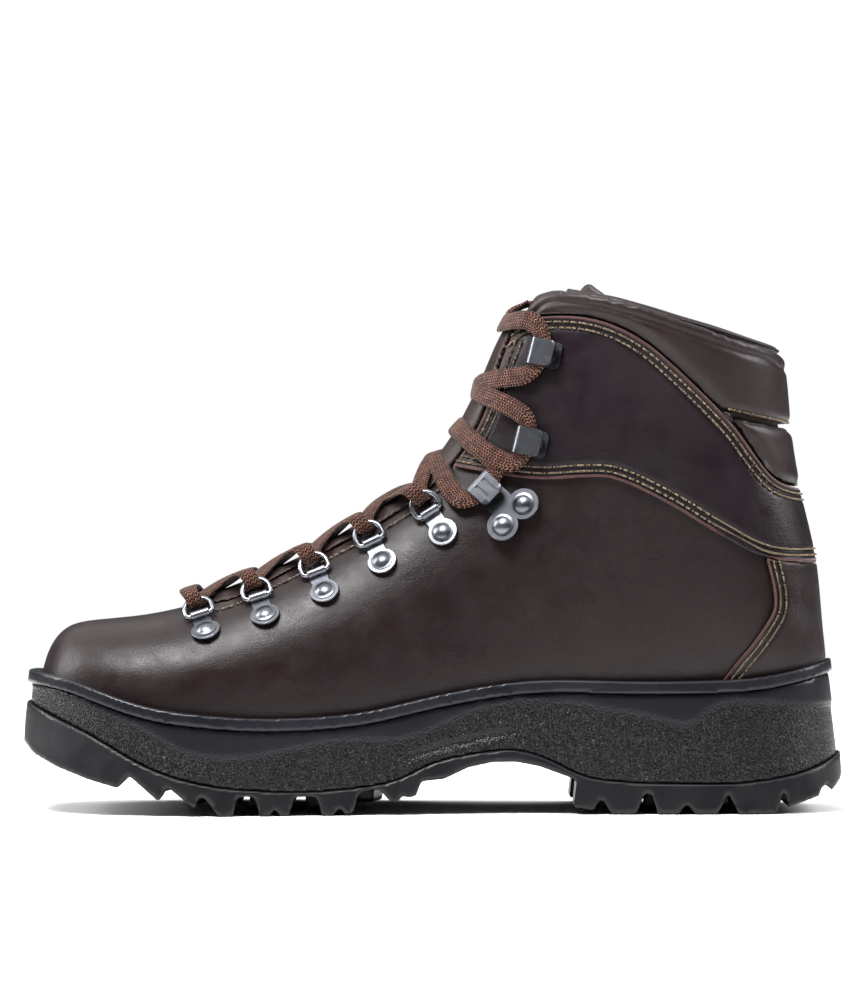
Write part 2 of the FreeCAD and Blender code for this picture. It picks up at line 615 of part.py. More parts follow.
def locking_hook():
    """The ankle hook: the same fold on a plate with two riveted lobes."""
    body = hook(LOCK_TAIL)
    lobes = []
    for x in (-LOCK_SPREAD, LOCK_SPREAD):
        lobes.append(Part.makeCylinder(6.0, HOOK_PLATE, V(x, -LOCK_TAIL, 0)))
    plate = body.fuse(lobes)
    face = 2 * HOOK_PLATE + HOOK_SLOT
    for x in (-1.9, 1.9):
        plate = plate.cut(Part.makeBox(1.4, 6.4, 1, V(x - 0.7, -1.4, face - RIB_DEEP)))
    for x in (-LOCK_SPREAD, LOCK_SPREAD):
        plate = plate.cut(Part.makeCylinder(RIVET_SHANK, 4, V(x, -LOCK_TAIL, -1)))
    return plate.removeSplitter()


def at(matrix, x, y, z):
    return matrix.multVec(V(x, y, z))


def ring_matrix(matrix):
    """Frame of a ring in its clip, standing a little off the leather."""
    turn = FreeCAD.Placement(V(0, CLIP_LONG, CLIP_FOLD),
                             FreeCAD.Rotation(V(1, 0, 0), RING_TILT))
    return matrix.multiply(turn.toMatrix())


# ---- lace ----
def rounded_path(points):
    """Straight runs joined by tangent arcs, each as large as its runs allow."""
    edges, here = [], points[0]
    for before, corner, after in zip(points, points[1:], points[2:]):
        a, b = corner - before, after - corner
        short = min(a.Length, b.Length) * 0.45
        u, w = a / a.Length, b / b.Length
        turn = math.acos(max(-1.0, min(1.0, u.dot(w))))
        start, end = corner - u * short, corner + w * short
        radius = short / math.tan(turn / 2)
        middle = corner + (w - u) / (w - u).Length * (radius / math.cos(turn / 2) - radius)
        edges.append(Part.LineSegment(here, start).toShape())
        edges.append(Part.Arc(start, middle, end).toShape())
        here = end
    edges.append(Part.LineSegment(here, points[-1]).toShape())
    return Part.Wire(edges)


def tube(name, points, radius):
    """A round cord along a route, checked against its section times its length."""
    path = rounded_path(points)
    heading = points[1] - points[0]
    ring = Part.Wire(Part.makeCircle(radius, points[0], heading))
    solid = path.makePipeShell([ring], True, False)
    expected = math.pi * radius * radius * path.Length
    print("%s: %.0f mm long, volume ratio %.3f" % (
        name, path.Length, solid.Volume / expected))
    return solid


def ring_lace(matrix, rising):
    """Over a ring's bow, down through it and out beneath; rising is +1 or -1 along X."""
    bow = RING_SIDE + RING_HALF
    ring = ring_matrix(matrix)
    return [at(ring, -2.0 * rising, bow + 4.4, LACE_CLEAR - 0.4),
            at(ring, -0.5 * rising, bow - 2.9, LACE_CLEAR),
            at(ring, 0.5 * rising, bow - 2.9, -LACE_CLEAR),
            at(ring, 2.0 * rising, bow + 4.6, -4.4)]


def hook_lace(matrix, rising):
    """Through a hook's slot from below and out above."""
    level = HOOK_PLATE + HOOK_SLOT / 2
    return [at(matrix, -8.8 * rising, 8.6, level + 0.7),
            at(matrix, -6.6 * rising, HOOK_FOLD - 0.3, level),
            at(matrix, 6.6 * rising, HOOK_FOLD - 0.3, level),
            at(matrix, 8.8 * rising, 8.6, level + 0.7)]


def ridge_point(low, high, lift):
    """A point over the tongue's ridge, between two levels of fittings."""
    middle = (low + high) * 0.5
    run = V(high.x - low.x, 0, high.z - low.z).normalize()
    out = V(-run.z, 0, run.x)
    start = V(middle.x, 0.01, middle.z) - out * 12
    ray = Part.LineSegment(start, start + out * 60).toShape()
    hits = SKIN.Shells[0].section(ray).Vertexes
    top = max((v.Point for v in hits), key=lambda p: p.dot(out))
    return V(top.x, 0, top.z) + out * (TONGUE_SWELL + LACE + lift)


def over_leather(start, end):
    """Points that carry a strand of lace over the outside of the upper."""
    points = []
    for share in (0.2, 0.4, 0.6, 0.8):
        spot = start + (end - start) * share
        distance, pairs, info = OVER.Shells[0].distToShape(Part.Vertex(spot))
        inside = OVER.isInside(spot, 0.001, True)
        if not inside and distance > LACE + STRAND_GAP:
            continue
        foot = pairs[0][0]
        out = (spot - foot).normalize()
        out = out * -1 if inside else out
        points.append(foot + out * (LACE + STRAND_GAP))
    return points


# ---- build the upper ----
vamp = vamp_and_quarters()
save("vamp_and_quarters", vamp)
cuff = ankle_cuff()
save("ankle_cuff", cuff)
cover = counter_cover(cuff)
save("heel_counter_cover", cover)
pad_upper, pad_lower = collar_pads()
save("collar_pad_upper", pad_upper)
save("collar_pad_lower", pad_lower)
for name, solid in zip(("toe_puff", "heel_stiffener", "interlining", "lining"),
                       inner_layers()):
    save(name, solid)
for name, solid in zip(("tongue_face", "tongue_foam", "tongue_wings"), tongue(vamp)):
    save(name, solid)

# ---- build the sole ----
foot_hole = SKIN.common(above(FEATHER))
for name, solid in zip(("midsole", "rand_bead", "shank"), sole(foot_hole, cover)):
    save(name, solid)
save("outsole", outsole())
for name, solid in zip(("insole_board", "footbed"), insole()):
    save(name, solid)

# ---- build the hardware ----
THROUGH = LEATHER + STIFFENER + LINING
levels = {"medial": [], "lateral": []}
rings_depth = THROUGH + SEAT - 0.4
for side_name, side in SIDES:
    clips, rivets = [], []
    rising = 1 if side < 0 else -1
    for number, place in enumerate(RING_PLACES, start=1):
        m = frame_at(place, side, SKIN, SEAT)
        clips.append(put(clip(), m))
        rivets.append(put(rivet(RIVET_DOME, rings_depth), m))
        ring = ring_matrix(m)
        save("d_ring_%s_%d" % (side_name, number), put(d_ring(), ring))
        pivot, axis = at(ring, 0, 0, 0), at(ring, 1, 0, 0) - at(ring, 0, 0, 0)
        print("  ring pivot %s %d at %.2f %.2f %.2f axis %.4f %.4f %.4f" % (
            side_name, number, *pivot, *axis))
        levels[side_name].append((at(ring, 0, RING_SIDE + RING_HALF, 0),
                                  ring_lace(m, rising)))
    save("ring_clips_" + side_name, Part.makeCompound(clips))
    save("ring_rivets_" + side_name, Part.makeCompound(rivets))
    m = frame_at(LOCK_PLACE, side, SKIN, LOCK_SEAT)
    save("locking_hook_" + side_name, put(locking_hook(), m))
    lobes = []
    for x in (-LOCK_SPREAD, LOCK_SPREAD):
        spot = FreeCAD.Matrix()
        spot.move(V(x, -LOCK_TAIL, HOOK_PLATE - CLIP_PLATE))
        lobes.append(put(rivet(RIVET_DOME, THROUGH + LOCK_SEAT), m.multiply(spot)))
    save("locking_hook_rivets_" + side_name, Part.makeCompound(lobes))
    levels[side_name].append((at(m, 0, 8, 2), hook_lace(m, rising)))
    flats = []
    for hook_name, place in zip(("lower", "upper"), HOOK_PLACES):
        m = frame_at(place, side, OVER, SEAT)
        save("%s_hook_%s" % (hook_name, side_name), put(lace_hook(), m))
        flats.append(put(flat_rivet(THROUGH + OVERLAY + SEAT), m))
        levels[side_name].append((at(m, 0, 8, 2), hook_lace(m, rising)))
    save("hook_rivets_" + side_name, Part.makeCompound(flats))

# ---- build the lace ----
medial, lateral = levels["medial"], levels["lateral"]


def crossing(level, lift):
    """Where the two legs of the lace cross between a level and the next."""
    low = (medial[level][0] + lateral[level][0]) * 0.5
    high = (medial[level + 1][0] + lateral[level + 1][0]) * 0.5
    return ridge_point(low, high, lift)


def leg(first, lifts):
    """One leg of the lace: ring or hook by ring or hook, changing sides."""
    points = []
    for level in range(len(medial)):
        own = medial if (level + first) % 2 else lateral
        if level:
            points += over_leather(points[-1], own[level][1][0])
        points += own[level][1]
        if level < len(medial) - 1:
            middle = crossing(level, lifts[level % 2])
            points += over_leather(points[-1], middle)
            points.append(middle)
    return points


# The ends go from the upper hooks round the front and over the tongue's top.
TOP_A = [V(32.6, -23.0, 184.6), V(26.4, -9.5, 183.4), V(25.9, 1.5, 183.6),
         V(29.2, 4.8, 188.2), V(36.5, 4.8, 191.4)]
TOP_B = [V(34.6, 26.6, 184.8), V(29.8, 19.0, 187.4), V(31.0, 10.6, 190.2),
         V(36.8, 9.4, 191.5)]
TAIL_A = [TOP_A[-1], V(42.4, 3.6, 191.6), V(47.0, -1.0, 187.0), V(51.0, -8.5, 177.0),
          V(55.5, -16.0, 160.0), V(60.0, -21.0, 140.0), V(62.0, -22.6, 116.0),
          V(62.4, -23.0, 92.0), V(61.0, -22.6, 70.0), V(55.0, -22.0, 55.5),
          V(43.0, -21.0, 49.4), V(26.0, -20.0, 47.2), V(9.0, -19.0, 44.5)]
TAIL_B = [TOP_B[-1], V(43.2, 8.4, 192.9), V(50.0, 8.4, 189.0), V(53.6, 10.5, 177.0),
          V(57.5, 14.5, 160.0), V(61.0, 17.8, 140.0), V(63.0, 20.0, 116.0),
          V(63.0, 21.0, 92.0), V(62.0, 21.5, 70.0), V(56.0, 21.5, 55.5),
          V(44.0, 20.5, 49.4), V(29.0, 19.5, 47.4), V(14.0, 18.5, 45.1)]
leg_a = leg(0, (0.8, 3.6))
leg_b = leg(1, (3.6, 0.8))
route = (leg_a + TOP_A)[::-1] + leg_b + TOP_B
save("lace", tube("lace", route, LACE))
for name, points in (("a", TAIL_A), ("b", TAIL_B)):
    save("lace_tail_" + name, tube("lace_tail_" + name, points, LACE))
    heading = (points[-1] - points[-2]).normalize()
    sleeve = Part.makeCylinder(AGLET, AGLET_LONG, points[-1], heading)
    save("aglet_" + name, sleeve)
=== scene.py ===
import bpy
import bmesh
import json
import math
import numpy as np
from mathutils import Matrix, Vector
from mathutils.bvhtree import BVHTree
from mathutils.kdtree import KDTree


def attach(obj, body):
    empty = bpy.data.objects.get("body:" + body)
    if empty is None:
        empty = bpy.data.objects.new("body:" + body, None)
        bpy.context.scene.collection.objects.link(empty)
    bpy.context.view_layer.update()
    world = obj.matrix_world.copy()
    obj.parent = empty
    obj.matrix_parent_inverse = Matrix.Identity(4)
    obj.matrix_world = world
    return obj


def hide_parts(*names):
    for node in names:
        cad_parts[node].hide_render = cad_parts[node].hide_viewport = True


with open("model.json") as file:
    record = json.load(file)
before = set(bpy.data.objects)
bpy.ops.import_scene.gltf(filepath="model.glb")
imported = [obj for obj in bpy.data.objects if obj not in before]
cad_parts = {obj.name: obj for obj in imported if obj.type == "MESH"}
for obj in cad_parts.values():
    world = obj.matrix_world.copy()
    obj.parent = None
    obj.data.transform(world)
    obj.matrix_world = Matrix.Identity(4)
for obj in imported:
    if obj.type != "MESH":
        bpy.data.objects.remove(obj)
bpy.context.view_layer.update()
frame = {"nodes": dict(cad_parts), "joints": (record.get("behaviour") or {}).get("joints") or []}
NODES = frame["nodes"]
MM = 0.001
SIDES = (("medial", -1), ("lateral", 1))
V = Vector
scene = bpy.context.scene

# ---------------------------------------------------------------- materials


class Shader:
    """A material built up node by node round one Principled shader."""

    def __init__(self, name, rough, metallic=0.0, **fixed):
        self.mat = bpy.data.materials.new(name)
        self.mat.use_nodes = True
        self.tree = self.mat.node_tree
        self.bsdf = self.tree.nodes["Principled BSDF"]
        self.bsdf.inputs["Roughness"].default_value = rough
        self.bsdf.inputs["Metallic"].default_value = metallic
        for socket, value in fixed.items():
            self.bsdf.inputs[socket.replace("_", " ")].default_value = value
        self.bump_out = None

    def node(self, kind, links=(), **values):
        made = self.tree.nodes.new(kind)
        for key, value in values.items():
            if key in made.inputs:
                made.inputs[key].default_value = value
            else:
                setattr(made, key, value)
        for socket, source in dict(links).items():
            self.tree.links.new(source, made.inputs[socket])
        return made

    def place(self):
        return self.node("ShaderNodeTexCoord").outputs["Object"]

    def noise(self, scale, detail=3.0, rough=0.55):
        made = self.node("ShaderNodeTexNoise", {"Vector": self.place()},
                         Scale=scale, Detail=detail, Roughness=rough)
        return made.outputs["Fac"]

    def cells(self, scale, feature="F1"):
        made = self.node("ShaderNodeTexVoronoi", {"Vector": self.place()}, Scale=scale)
        made.feature = feature
        return made.outputs["Distance"]

    def ramp(self, source, stops):
        made = self.node("ShaderNodeValToRGB", {"Fac": source})
        elements = made.color_ramp.elements
        while len(elements) < len(stops):
            elements.new(0.5)
        for element, (place, colour) in zip(elements, stops):
            element.position = place
            element.color = (*colour, 1.0)
        return made.outputs["Color"]

    def spread(self, source, low, high, to_low, to_high):
        made = self.node("ShaderNodeMapRange", {"Value": source})
        for i, value in enumerate((low, high, to_low, to_high), start=1):
            made.inputs[i].default_value = value
        return made.outputs["Result"]

    def math(self, operation, a, b):
        made = self.node("ShaderNodeMath", operation=operation)
        for i, value in enumerate((a, b)):
            if isinstance(value, (int, float)):
                made.inputs[i].default_value = value
            else:
                self.tree.links.new(value, made.inputs[i])
        return made.outputs["Value"]

    def mix(self, share, a, b):
        made = self.node("ShaderNodeMix", data_type="RGBA")
        for index, value in ((0, share), (6, a), (7, b)):
            if isinstance(value, (int, float)):
                made.inputs[index].default_value = value
            elif isinstance(value, tuple):
                made.inputs[index].default_value = (*value, 1.0)
            else:
                self.tree.links.new(value, made.inputs[index])
        return made.outputs[2]

    def colour(self, source):
        if isinstance(source, tuple):
            self.bsdf.inputs["Base Color"].default_value = (*source, 1.0)
        else:
            self.tree.links.new(source, self.bsdf.inputs["Base Color"])

    def roughness(self, source):
        self.tree.links.new(source, self.bsdf.inputs["Roughness"])

    def bump(self, height, strength, distance):
        """One more layer of relief, distance in metres."""
        made = self.node("ShaderNodeBump", {"Height": height}, Strength=strength,
                         Distance=distance)
        if self.bump_out is not None:
            self.tree.links.new(self.bump_out, made.inputs["Normal"])
        self.bump_out = made.outputs["Normal"]
        self.tree.links.new(self.bump_out, self.bsdf.inputs["Normal"])

    def attribute(self, name):
        return self.node("ShaderNodeAttribute", attribute_name=name).outputs["Fac"]


def srgb(code):
    """A linear colour from a six-digit sRGB code."""
    channels = [int(code[i:i + 2], 16) / 255 for i in (0, 2, 4)]
    return tuple(c / 12.92 if c <= 0.04045 else ((c + 0.055) / 1.055) ** 2.4
                 for c in channels)


def leather(name, dark, light, rough=0.42, grain=900.0, edge="4a221b"):
    """Oiled full-grain leather: pores, fine wrinkles, a pull-up bloom and raw edges."""
    s = Shader(name, rough, Specular_IOR_Level=0.25)
    cloud = s.noise(14.0, 4.0, 0.6)
    base = s.ramp(cloud, [(0.32, srgb(dark)), (0.72, srgb(light))])
    mottle = s.noise(420.0, 3.0, 0.7)
    base = s.mix(s.spread(mottle, 0.35, 0.75, 0.0, 0.45), base, srgb(light))
    raw = s.attribute("raw_edge")
    base = s.mix(raw, base, srgb(edge))
    s.colour(base)
    s.roughness(s.spread(s.noise(120.0, 3.0), 0.3, 0.7, rough - 0.07, rough + 0.09))
    pores = s.cells(grain, "DISTANCE_TO_EDGE")
    s.bump(s.spread(pores, 0.0, 0.14, 0.0, 1.0), 0.3, 0.00008)
    s.bump(s.noise(1700.0, 3.0, 0.7), 0.3, 0.00006)
    s.bump(s.noise(260.0, 5.0, 0.65), 0.35, 0.00016)
    s.bump(s.noise(26.0, 3.0, 0.5), 0.3, 0.0007)
    return s.mat


# Colour of the pebbled zone, and the painted highlight mixed in on its bead tops.
PEBBLE_DARK, PEBBLE_PAINTED_GLINT = "050507", "4a4a54"


def rubber(name, dark, light, pebble_attribute=None, rough=0.5):
    """Moulded rubber, smooth or pebbled where the attribute says."""
    s = Shader(name, rough, Specular_IOR_Level=0.3)
    cloud = s.noise(30.0, 4.0, 0.6)
    base = s.ramp(cloud, [(0.3, srgb(dark)), (0.75, srgb(light))])
    if pebble_attribute:
        zone = s.attribute(pebble_attribute)
        beads = s.cells(1500.0, "SMOOTH_F1")
        beads = s.spread(beads, 0.15, 0.75, 1.0, 0.0)
        lumps = s.noise(800.0, 3.0, 0.6)
        grainy = s.math("MULTIPLY", s.math("ADD", beads, lumps), zone)
        s.bump(grainy, 0.8, 0.00026)
        # The bead tops get a painted highlight: a brighter grey mixed into the base colour,
        # along with a real drop in roughness.
        glint = s.math("MULTIPLY", s.spread(beads, 0.72, 0.98, 0.0, 1.0), zone)
        base = s.mix(zone, base, srgb(PEBBLE_DARK))
        base = s.mix(s.math("MULTIPLY", glint, 0.2), base, srgb(PEBBLE_PAINTED_GLINT))
        s.roughness(s.math("SUBTRACT", rough, s.math("MULTIPLY", glint, 0.22)))
    else:
        s.roughness(s.spread(s.noise(90.0, 4.0), 0.3, 0.7, rough - 0.06, rough + 0.1))
    s.bump(s.noise(800.0, 3.0, 0.6), 0.25, 0.00012)
    s.colour(base)
    return s.mat


def metal(name, dark, light, rough=0.3):
    """Smoked nickel plate: fine tumbling marks, worn brighter here and there."""
    s = Shader(name, rough, metallic=1.0)
    wear = s.noise(90.0, 2.0, 0.5)
    s.colour(s.ramp(wear, [(0.25, srgb(dark)), (0.8, srgb(light))]))
    s.roughness(s.spread(s.noise(700.0, 4.0, 0.7), 0.3, 0.7, rough - 0.04, rough + 0.05))
    s.bump(s.noise(1500.0, 3.0, 0.6), 0.12, 0.00002)
    return s.mat


def cloth(name, dark, light, rough=0.9, scale=1800.0):
    s = Shader(name, rough, Sheen_Weight=0.25, Sheen_Roughness=0.5)
    weave = s.cells(scale, "F1")
    s.colour(s.mix(s.spread(weave, 0.2, 0.7, 0.0, 1.0), srgb(light), srgb(dark)))
    s.bump(weave, 0.4, 0.0002)
    s.bump(s.noise(60.0, 3.0), 0.3, 0.0006)
    return s.mat


def braid():
    """Flat braided lace: lengthwise rows of slanting yarns, laid by the strip's UVs, with
    painted shade in the ditches and a painted highlight on the crowns.
    """
    row, pitch = 0.00106, 0.00125
    s = Shader("braid", 0.8, Specular_IOR_Level=0.2, Sheen_Weight=0.12, Sheen_Roughness=0.4)
    uv = s.node("ShaderNodeUVMap", uv_map="along").outputs["UV"]
    split = s.node("ShaderNodeSeparateXYZ", {"Vector": uv})
    along, across = split.outputs["X"], split.outputs["Y"]
    zigzag = s.math("PINGPONG", s.math("ADD", across, 10 * row), row)
    turn = s.math("MULTIPLY", s.math("ADD", along, zigzag), 2 * math.pi / pitch)
    yarn = s.spread(s.math("SINE", turn, 0), -0.7, 0.7, 0.0, 1.0)
    ditch = s.math("ABSOLUTE", s.math("SINE", s.math("MULTIPLY", across, math.pi / row), 0), 0)
    plait = s.math("MULTIPLY", yarn, s.spread(ditch, 0.1, 0.7, 0.25, 1.0))
    fleck = s.noise(420.0, 2.0, 0.5)
    # Painted shade: the colour goes near black in the ditches between yarns and is lighter on
    # the raised yarns.
    base = s.mix(plait, srgb("0c0404"), srgb("3a1d18"))
    # Random light flecks, shown only on the yarn crowns, where they act as a painted highlight.
    bright = s.math("MULTIPLY", s.spread(fleck, 0.35, 0.62, 0.15, 0.8),
                    s.spread(plait, 0.45, 0.95, 0.0, 1.0))
    base = s.mix(bright, base, srgb("94644f"))
    s.colour(base)
    s.bump(plait, 0.8, 0.0003)
    return s.mat


def thread(name, dark, light):
    s = Shader(name, 0.7, Sheen_Weight=0.2)
    twist = s.noise(2600.0, 2.0, 0.5)
    s.colour(s.ramp(twist, [(0.35, srgb(dark)), (0.65, srgb(light))]))
    s.bump(twist, 0.5, 0.00008)
    return s.mat


def plastic(name, dark, light, rough=0.35):
    s = Shader(name, rough)
    s.colour(s.ramp(s.noise(80.0, 3.0), [(0.3, srgb(dark)), (0.7, srgb(light))]))
    s.bump(s.noise(500.0, 3.0), 0.15, 0.00006)
    return s.mat


MATS = {
    "upper": leather("upper_leather", "130a0c", "1f1415", 0.37),
    "cuff": leather("cuff_leather", "0e060b", "160c12", 0.37),
    "collar": leather("collar_leather", "180f11", "271c1d", 0.37, 1100.0),
    "tongue": leather("tongue_leather", "1c1312", "2c211e", 0.42),
    "lining": leather("lining_leather", "33271f", "463930", 0.6),
    "midsole": rubber("midsole_rubber", "101015", "1a1a20", "pebble", 0.34),
    "outsole": rubber("outsole_rubber", "0a0a0d", "121216", None, 0.38),
    "bead": rubber("bead_rubber", "101016", "1c1c22", None, 0.3),
    "gunmetal": metal("gunmetal", "55575d", "72747a", 0.32),
    "bright": metal("worn_nickel", "696b71", "86888d", 0.28),
    "braid": braid(),
    "thread": thread("tan_thread", "3f3322", "8d7a5c"),
    "raw": cloth("cut_leather_edge", "240c0a", "532019", 0.8, 2200.0),
    "dark_thread": thread("dark_thread", "140d0c", "32241f"),
    "footbed": cloth("footbed_textile", "1c1c20", "2e2e34"),
    "board": cloth("fibre_board", "5d4c36", "85715a", 0.95, 900.0),
    "foam": cloth("felted_foam", "565049", "7a736a", 0.95, 1200.0),
    "stiffener": plastic("stiffener_board", "8f8368", "b3a584", 0.6),
    "steel": metal("spring_steel", "6c6e72", "9a9ca1", 0.34),
    "aglet": plastic("aglet_film", "241614", "3d2722", 0.22),
}

# ---------------------------------------------------------------- mesh tools


def link(name, mesh):
    obj = bpy.data.objects.new(name, mesh)
    scene.collection.objects.link(obj)
    return obj


def new_mesh(name, verts, faces):
    mesh = bpy.data.meshes.new(name)
    mesh.from_pydata([tuple(v) for v in verts], [], faces)
    mesh.update()
    return mesh


def welded(*nodes):
    """One mesh from CAD nodes, with the import's split vertices joined."""
    bm = bmesh.new()
    for node in nodes:
        bm.from_mesh(NODES[node].data)
    bmesh.ops.remove_doubles(bm, verts=bm.verts, dist=1e-6)
    mesh = bpy.data.meshes.new("welded")
    bm.to_mesh(mesh)
    bm.free()
    return mesh


def tree_of(*nodes):
    bm = bmesh.new()
    for node in nodes:
        bm.from_mesh(NODES[node].data)
    tree = BVHTree.FromBMesh(bm)
    bm.free()
    return tree


def apply_modifiers(obj):
    bpy.context.view_layer.update()
    graph = bpy.context.evaluated_depsgraph_get()
    mesh = bpy.data.meshes.new_from_object(obj.evaluated_get(graph))
    obj.modifiers.clear()
    old, obj.data = obj.data, mesh
    bpy.data.meshes.remove(old)


def finish_mesh(obj, mat):
    mesh = obj.data
    mesh.materials.clear()
    mesh.materials.append(mat)
    mesh.polygons.foreach_set("use_smooth", [True] * len(mesh.polygons))
    mesh.update()


def coords(mesh):
    co = np.empty(len(mesh.vertices) * 3)
    mesh.vertices.foreach_get("co", co)
    return co.reshape(-1, 3)


def normals(mesh):
    out = np.empty(len(mesh.vertices) * 3)
    mesh.vertex_normals.foreach_get("vector", out)
    return out.reshape(-1, 3)


def set_coords(mesh, co):
    mesh.vertices.foreach_set("co", np.asarray(co, float).ravel())
    mesh.update()


def attribute(mesh, name, values):
    made = mesh.attributes.new(name, "FLOAT", "POINT")
    made.data.foreach_set("value", np.asarray(values, np.float32))


def moulded(name, nodes, voxel, rounds, mat):
    """A copy of CAD nodes, evenly remeshed, with its edges rounded over."""
    obj = link(name, welded(*nodes))
    remesh = obj.modifiers.new("even", "REMESH")
    remesh.mode = "VOXEL"
    remesh.voxel_size = voxel
    relax = obj.modifiers.new("round", "SMOOTH")
    relax.factor = 0.5
    relax.iterations = rounds
    apply_modifiers(obj)
    finish_mesh(obj, mat)
    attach(obj, "boot")
    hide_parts(*nodes)
    return obj


def evened(mesh, values, rounds):
    """Values of a mesh's vertices, averaged with their neighbours'."""
    ends = np.empty(len(mesh.edges) * 2, int)
    mesh.edges.foreach_get("vertices", ends)
    a, b = ends[::2], ends[1::2]
    count = np.bincount(ends, minlength=len(values))
    for _ in range(rounds):
        near = (np.bincount(a, values[b], len(values))
                + np.bincount(b, values[a], len(values)))
        values = 0.5 * values + 0.5 * near / np.maximum(count, 1)
    return values


MIDDLE_ZONE = 4 * MM


def cut_edges(obj, node):
    """Marks where a panel shows its cut edge, which faces square to the boot's width."""
    tree = tree_of(node)
    values = np.zeros(len(obj.data.vertices))
    for i, vertex in enumerate(obj.data.vertices):
        spot, normal, index, distance = tree.find_nearest(vertex.co)
        values[i] = abs(normal.y) < 0.004 and abs(spot.y) > MIDDLE_ZONE
    attribute(obj.data, "raw_edge", evened(obj.data, values, 4))


def smooth_line(points, step=0.5):
    """A smooth side-view line through points, sampled every step, all in millimetres."""
    pts = np.array(points, float)
    gaps = np.sqrt(np.linalg.norm(np.diff(pts, axis=0), axis=1))
    knots = np.concatenate([[0], np.cumsum(gaps)])
    slopes = np.gradient(pts, knots, axis=0)
    fine = []
    for i in range(len(pts) - 1):
        h = knots[i + 1] - knots[i]
        t = np.linspace(0, 1, 24, endpoint=False)[:, None]
        fine.append((2 * t**3 - 3 * t**2 + 1) * pts[i] + (t**3 - 2 * t**2 + t) * h
                    * slopes[i] + (3 * t**2 - 2 * t**3) * pts[i + 1]
                    + (t**3 - t**2) * h * slopes[i + 1])
    fine.append(pts[-1:])
    return even(np.concatenate(fine), step)


def even(line, step):
    """A polyline resampled at even steps."""
    line = np.asarray(line, float)
    runs = np.linalg.norm(np.diff(line, axis=0), axis=1)
    along = np.concatenate([[0], np.cumsum(runs)])
    count = max(2, int(round(along[-1] / step)) + 1)
    at = np.linspace(0, along[-1], count)
    return np.stack([np.interp(at, along, line[:, k]) for k in range(line.shape[1])], 1)


def unit(rows):
    return rows / np.maximum(np.linalg.norm(rows, axis=1), 1e-9)[:, None]


def shifted(line, distance):
    """A side-view line moved sideways, to its left for a positive distance."""
    heading = unit(np.gradient(line, axis=0))
    return line + distance * np.stack([-heading[:, 1], heading[:, 0]], 1)


OUTSIDE = 0.12          # a level ray towards the boot's side starts this far off
HEEL_AXIS = 0.104       # upright axis that the heel is wrapped round
HEEL_REACH = 0.09       # a level ray towards that axis starts this far off it


def cast_side(tree, x, z, side):
    """Where a level ray from one side meets the surface, and the way out there."""
    hit = tree.ray_cast(V((x, side * OUTSIDE, z)), V((0, -side, 0)))
    return hit[0], hit[1]


def cast_heel(tree, angle, z_of):
    """The same for a level ray towards the heel's axis, z_of giving the line's height."""
    heading = V((math.cos(angle), math.sin(angle), 0))
    z = z_of(HEEL_AXIS + 0.03)
    for _ in range(4):
        hit = tree.ray_cast(V((HEEL_AXIS, 0, z)) + heading * HEEL_REACH, -heading)
        if hit[0] is None:
            return None, None
        z = z_of(hit[0].x)
    return hit[0], hit[1]


def side_run(tree, line_mm, side):
    """A side-view line laid on one side of the surface: points and normals."""
    spots, outs = [], []
    for x, z in np.asarray(line_mm) * MM:
        spot, out = cast_side(tree, x, z, side)
        if spot is not None:
            spots.append(spot)
            outs.append(out)
    return np.array(spots).reshape(-1, 3), np.array(outs).reshape(-1, 3)


def wrapped_run(tree, line_mm):
    """A side-view line laid on both sides and round the heel, as one run."""
    line = np.asarray(line_mm) * MM
    order = np.argsort(line[:, 0])

    def z_of(x):
        return float(np.interp(x, line[order, 0], line[order, 1]))

    side_part = line_mm[line[:, 0] < HEEL_AXIS]
    a, an = side_run(tree, side_part, -1)
    c, cn = side_run(tree, side_part, 1)
    spots, outs = [], []
    for angle in np.linspace(-math.pi / 2, math.pi / 2, 160):
        spot, out = cast_heel(tree, angle, z_of)
        if spot is not None:
            spots.append(spot)
            outs.append(out)
    run = np.concatenate([a, np.array(spots), c[::-1]])
    out = np.concatenate([an, np.array(outs), cn[::-1]])
    both = even(np.hstack([run, out]), 0.5 * MM)
    return both[:, :3], unit(both[:, 3:])


def press(obj, runs, depth, width):
    """Sinks the surface along runs of points, as thread pulls a seam down."""
    run = np.concatenate(runs)
    kd = KDTree(len(run))
    for i, p in enumerate(run):
        kd.insert(p, i)
    kd.balance()
    co, out = coords(obj.data), normals(obj.data)
    reach = 3 * width
    for i, p in enumerate(co):
        spot, index, distance = kd.find(p)
        if distance < reach:
            co[i] = p - out[i] * depth * math.exp(-((distance / width) ** 2))
    set_coords(obj.data, co)


def tube_faces(rings, sides, base=0):
    """The faces of a closed tube whose vertices are rings of so many sides."""
    faces = [(r * sides + k, r * sides + (k + 1) % sides,
              (r + 1) * sides + (k + 1) % sides, (r + 1) * sides + k)
             for r in range(rings - 1) for k in range(sides)]
    last = (rings - 1) * sides
    faces += [tuple(range(sides))[::-1], tuple(last + k for k in range(sides))]
    return [tuple(base + corner for corner in face) for face in faces]


def sewn_on(name, verts, faces, mat):
    """A piece of the visual model alone, fixed to the boot."""
    obj = link(name, new_mesh(name, verts, faces))
    finish_mesh(obj, mat)
    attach(obj, "boot")
    return obj


THREAD = 0.36 * MM      # a stitch's radius
STITCH_STEP = 0.1 * MM
STITCH_SPAN = 16        # steps from a stitch's first hole to its second
STITCH_PITCH = 26       # steps from one stitch to the next
# How a stitch rises out of its hole and dives again: share of its span, height.
STITCH_RISE = ((0.0, -0.5), (0.12, 0.55), (0.35, 0.95), (0.65, 0.95), (0.88, 0.55),
               (1.0, -0.5))


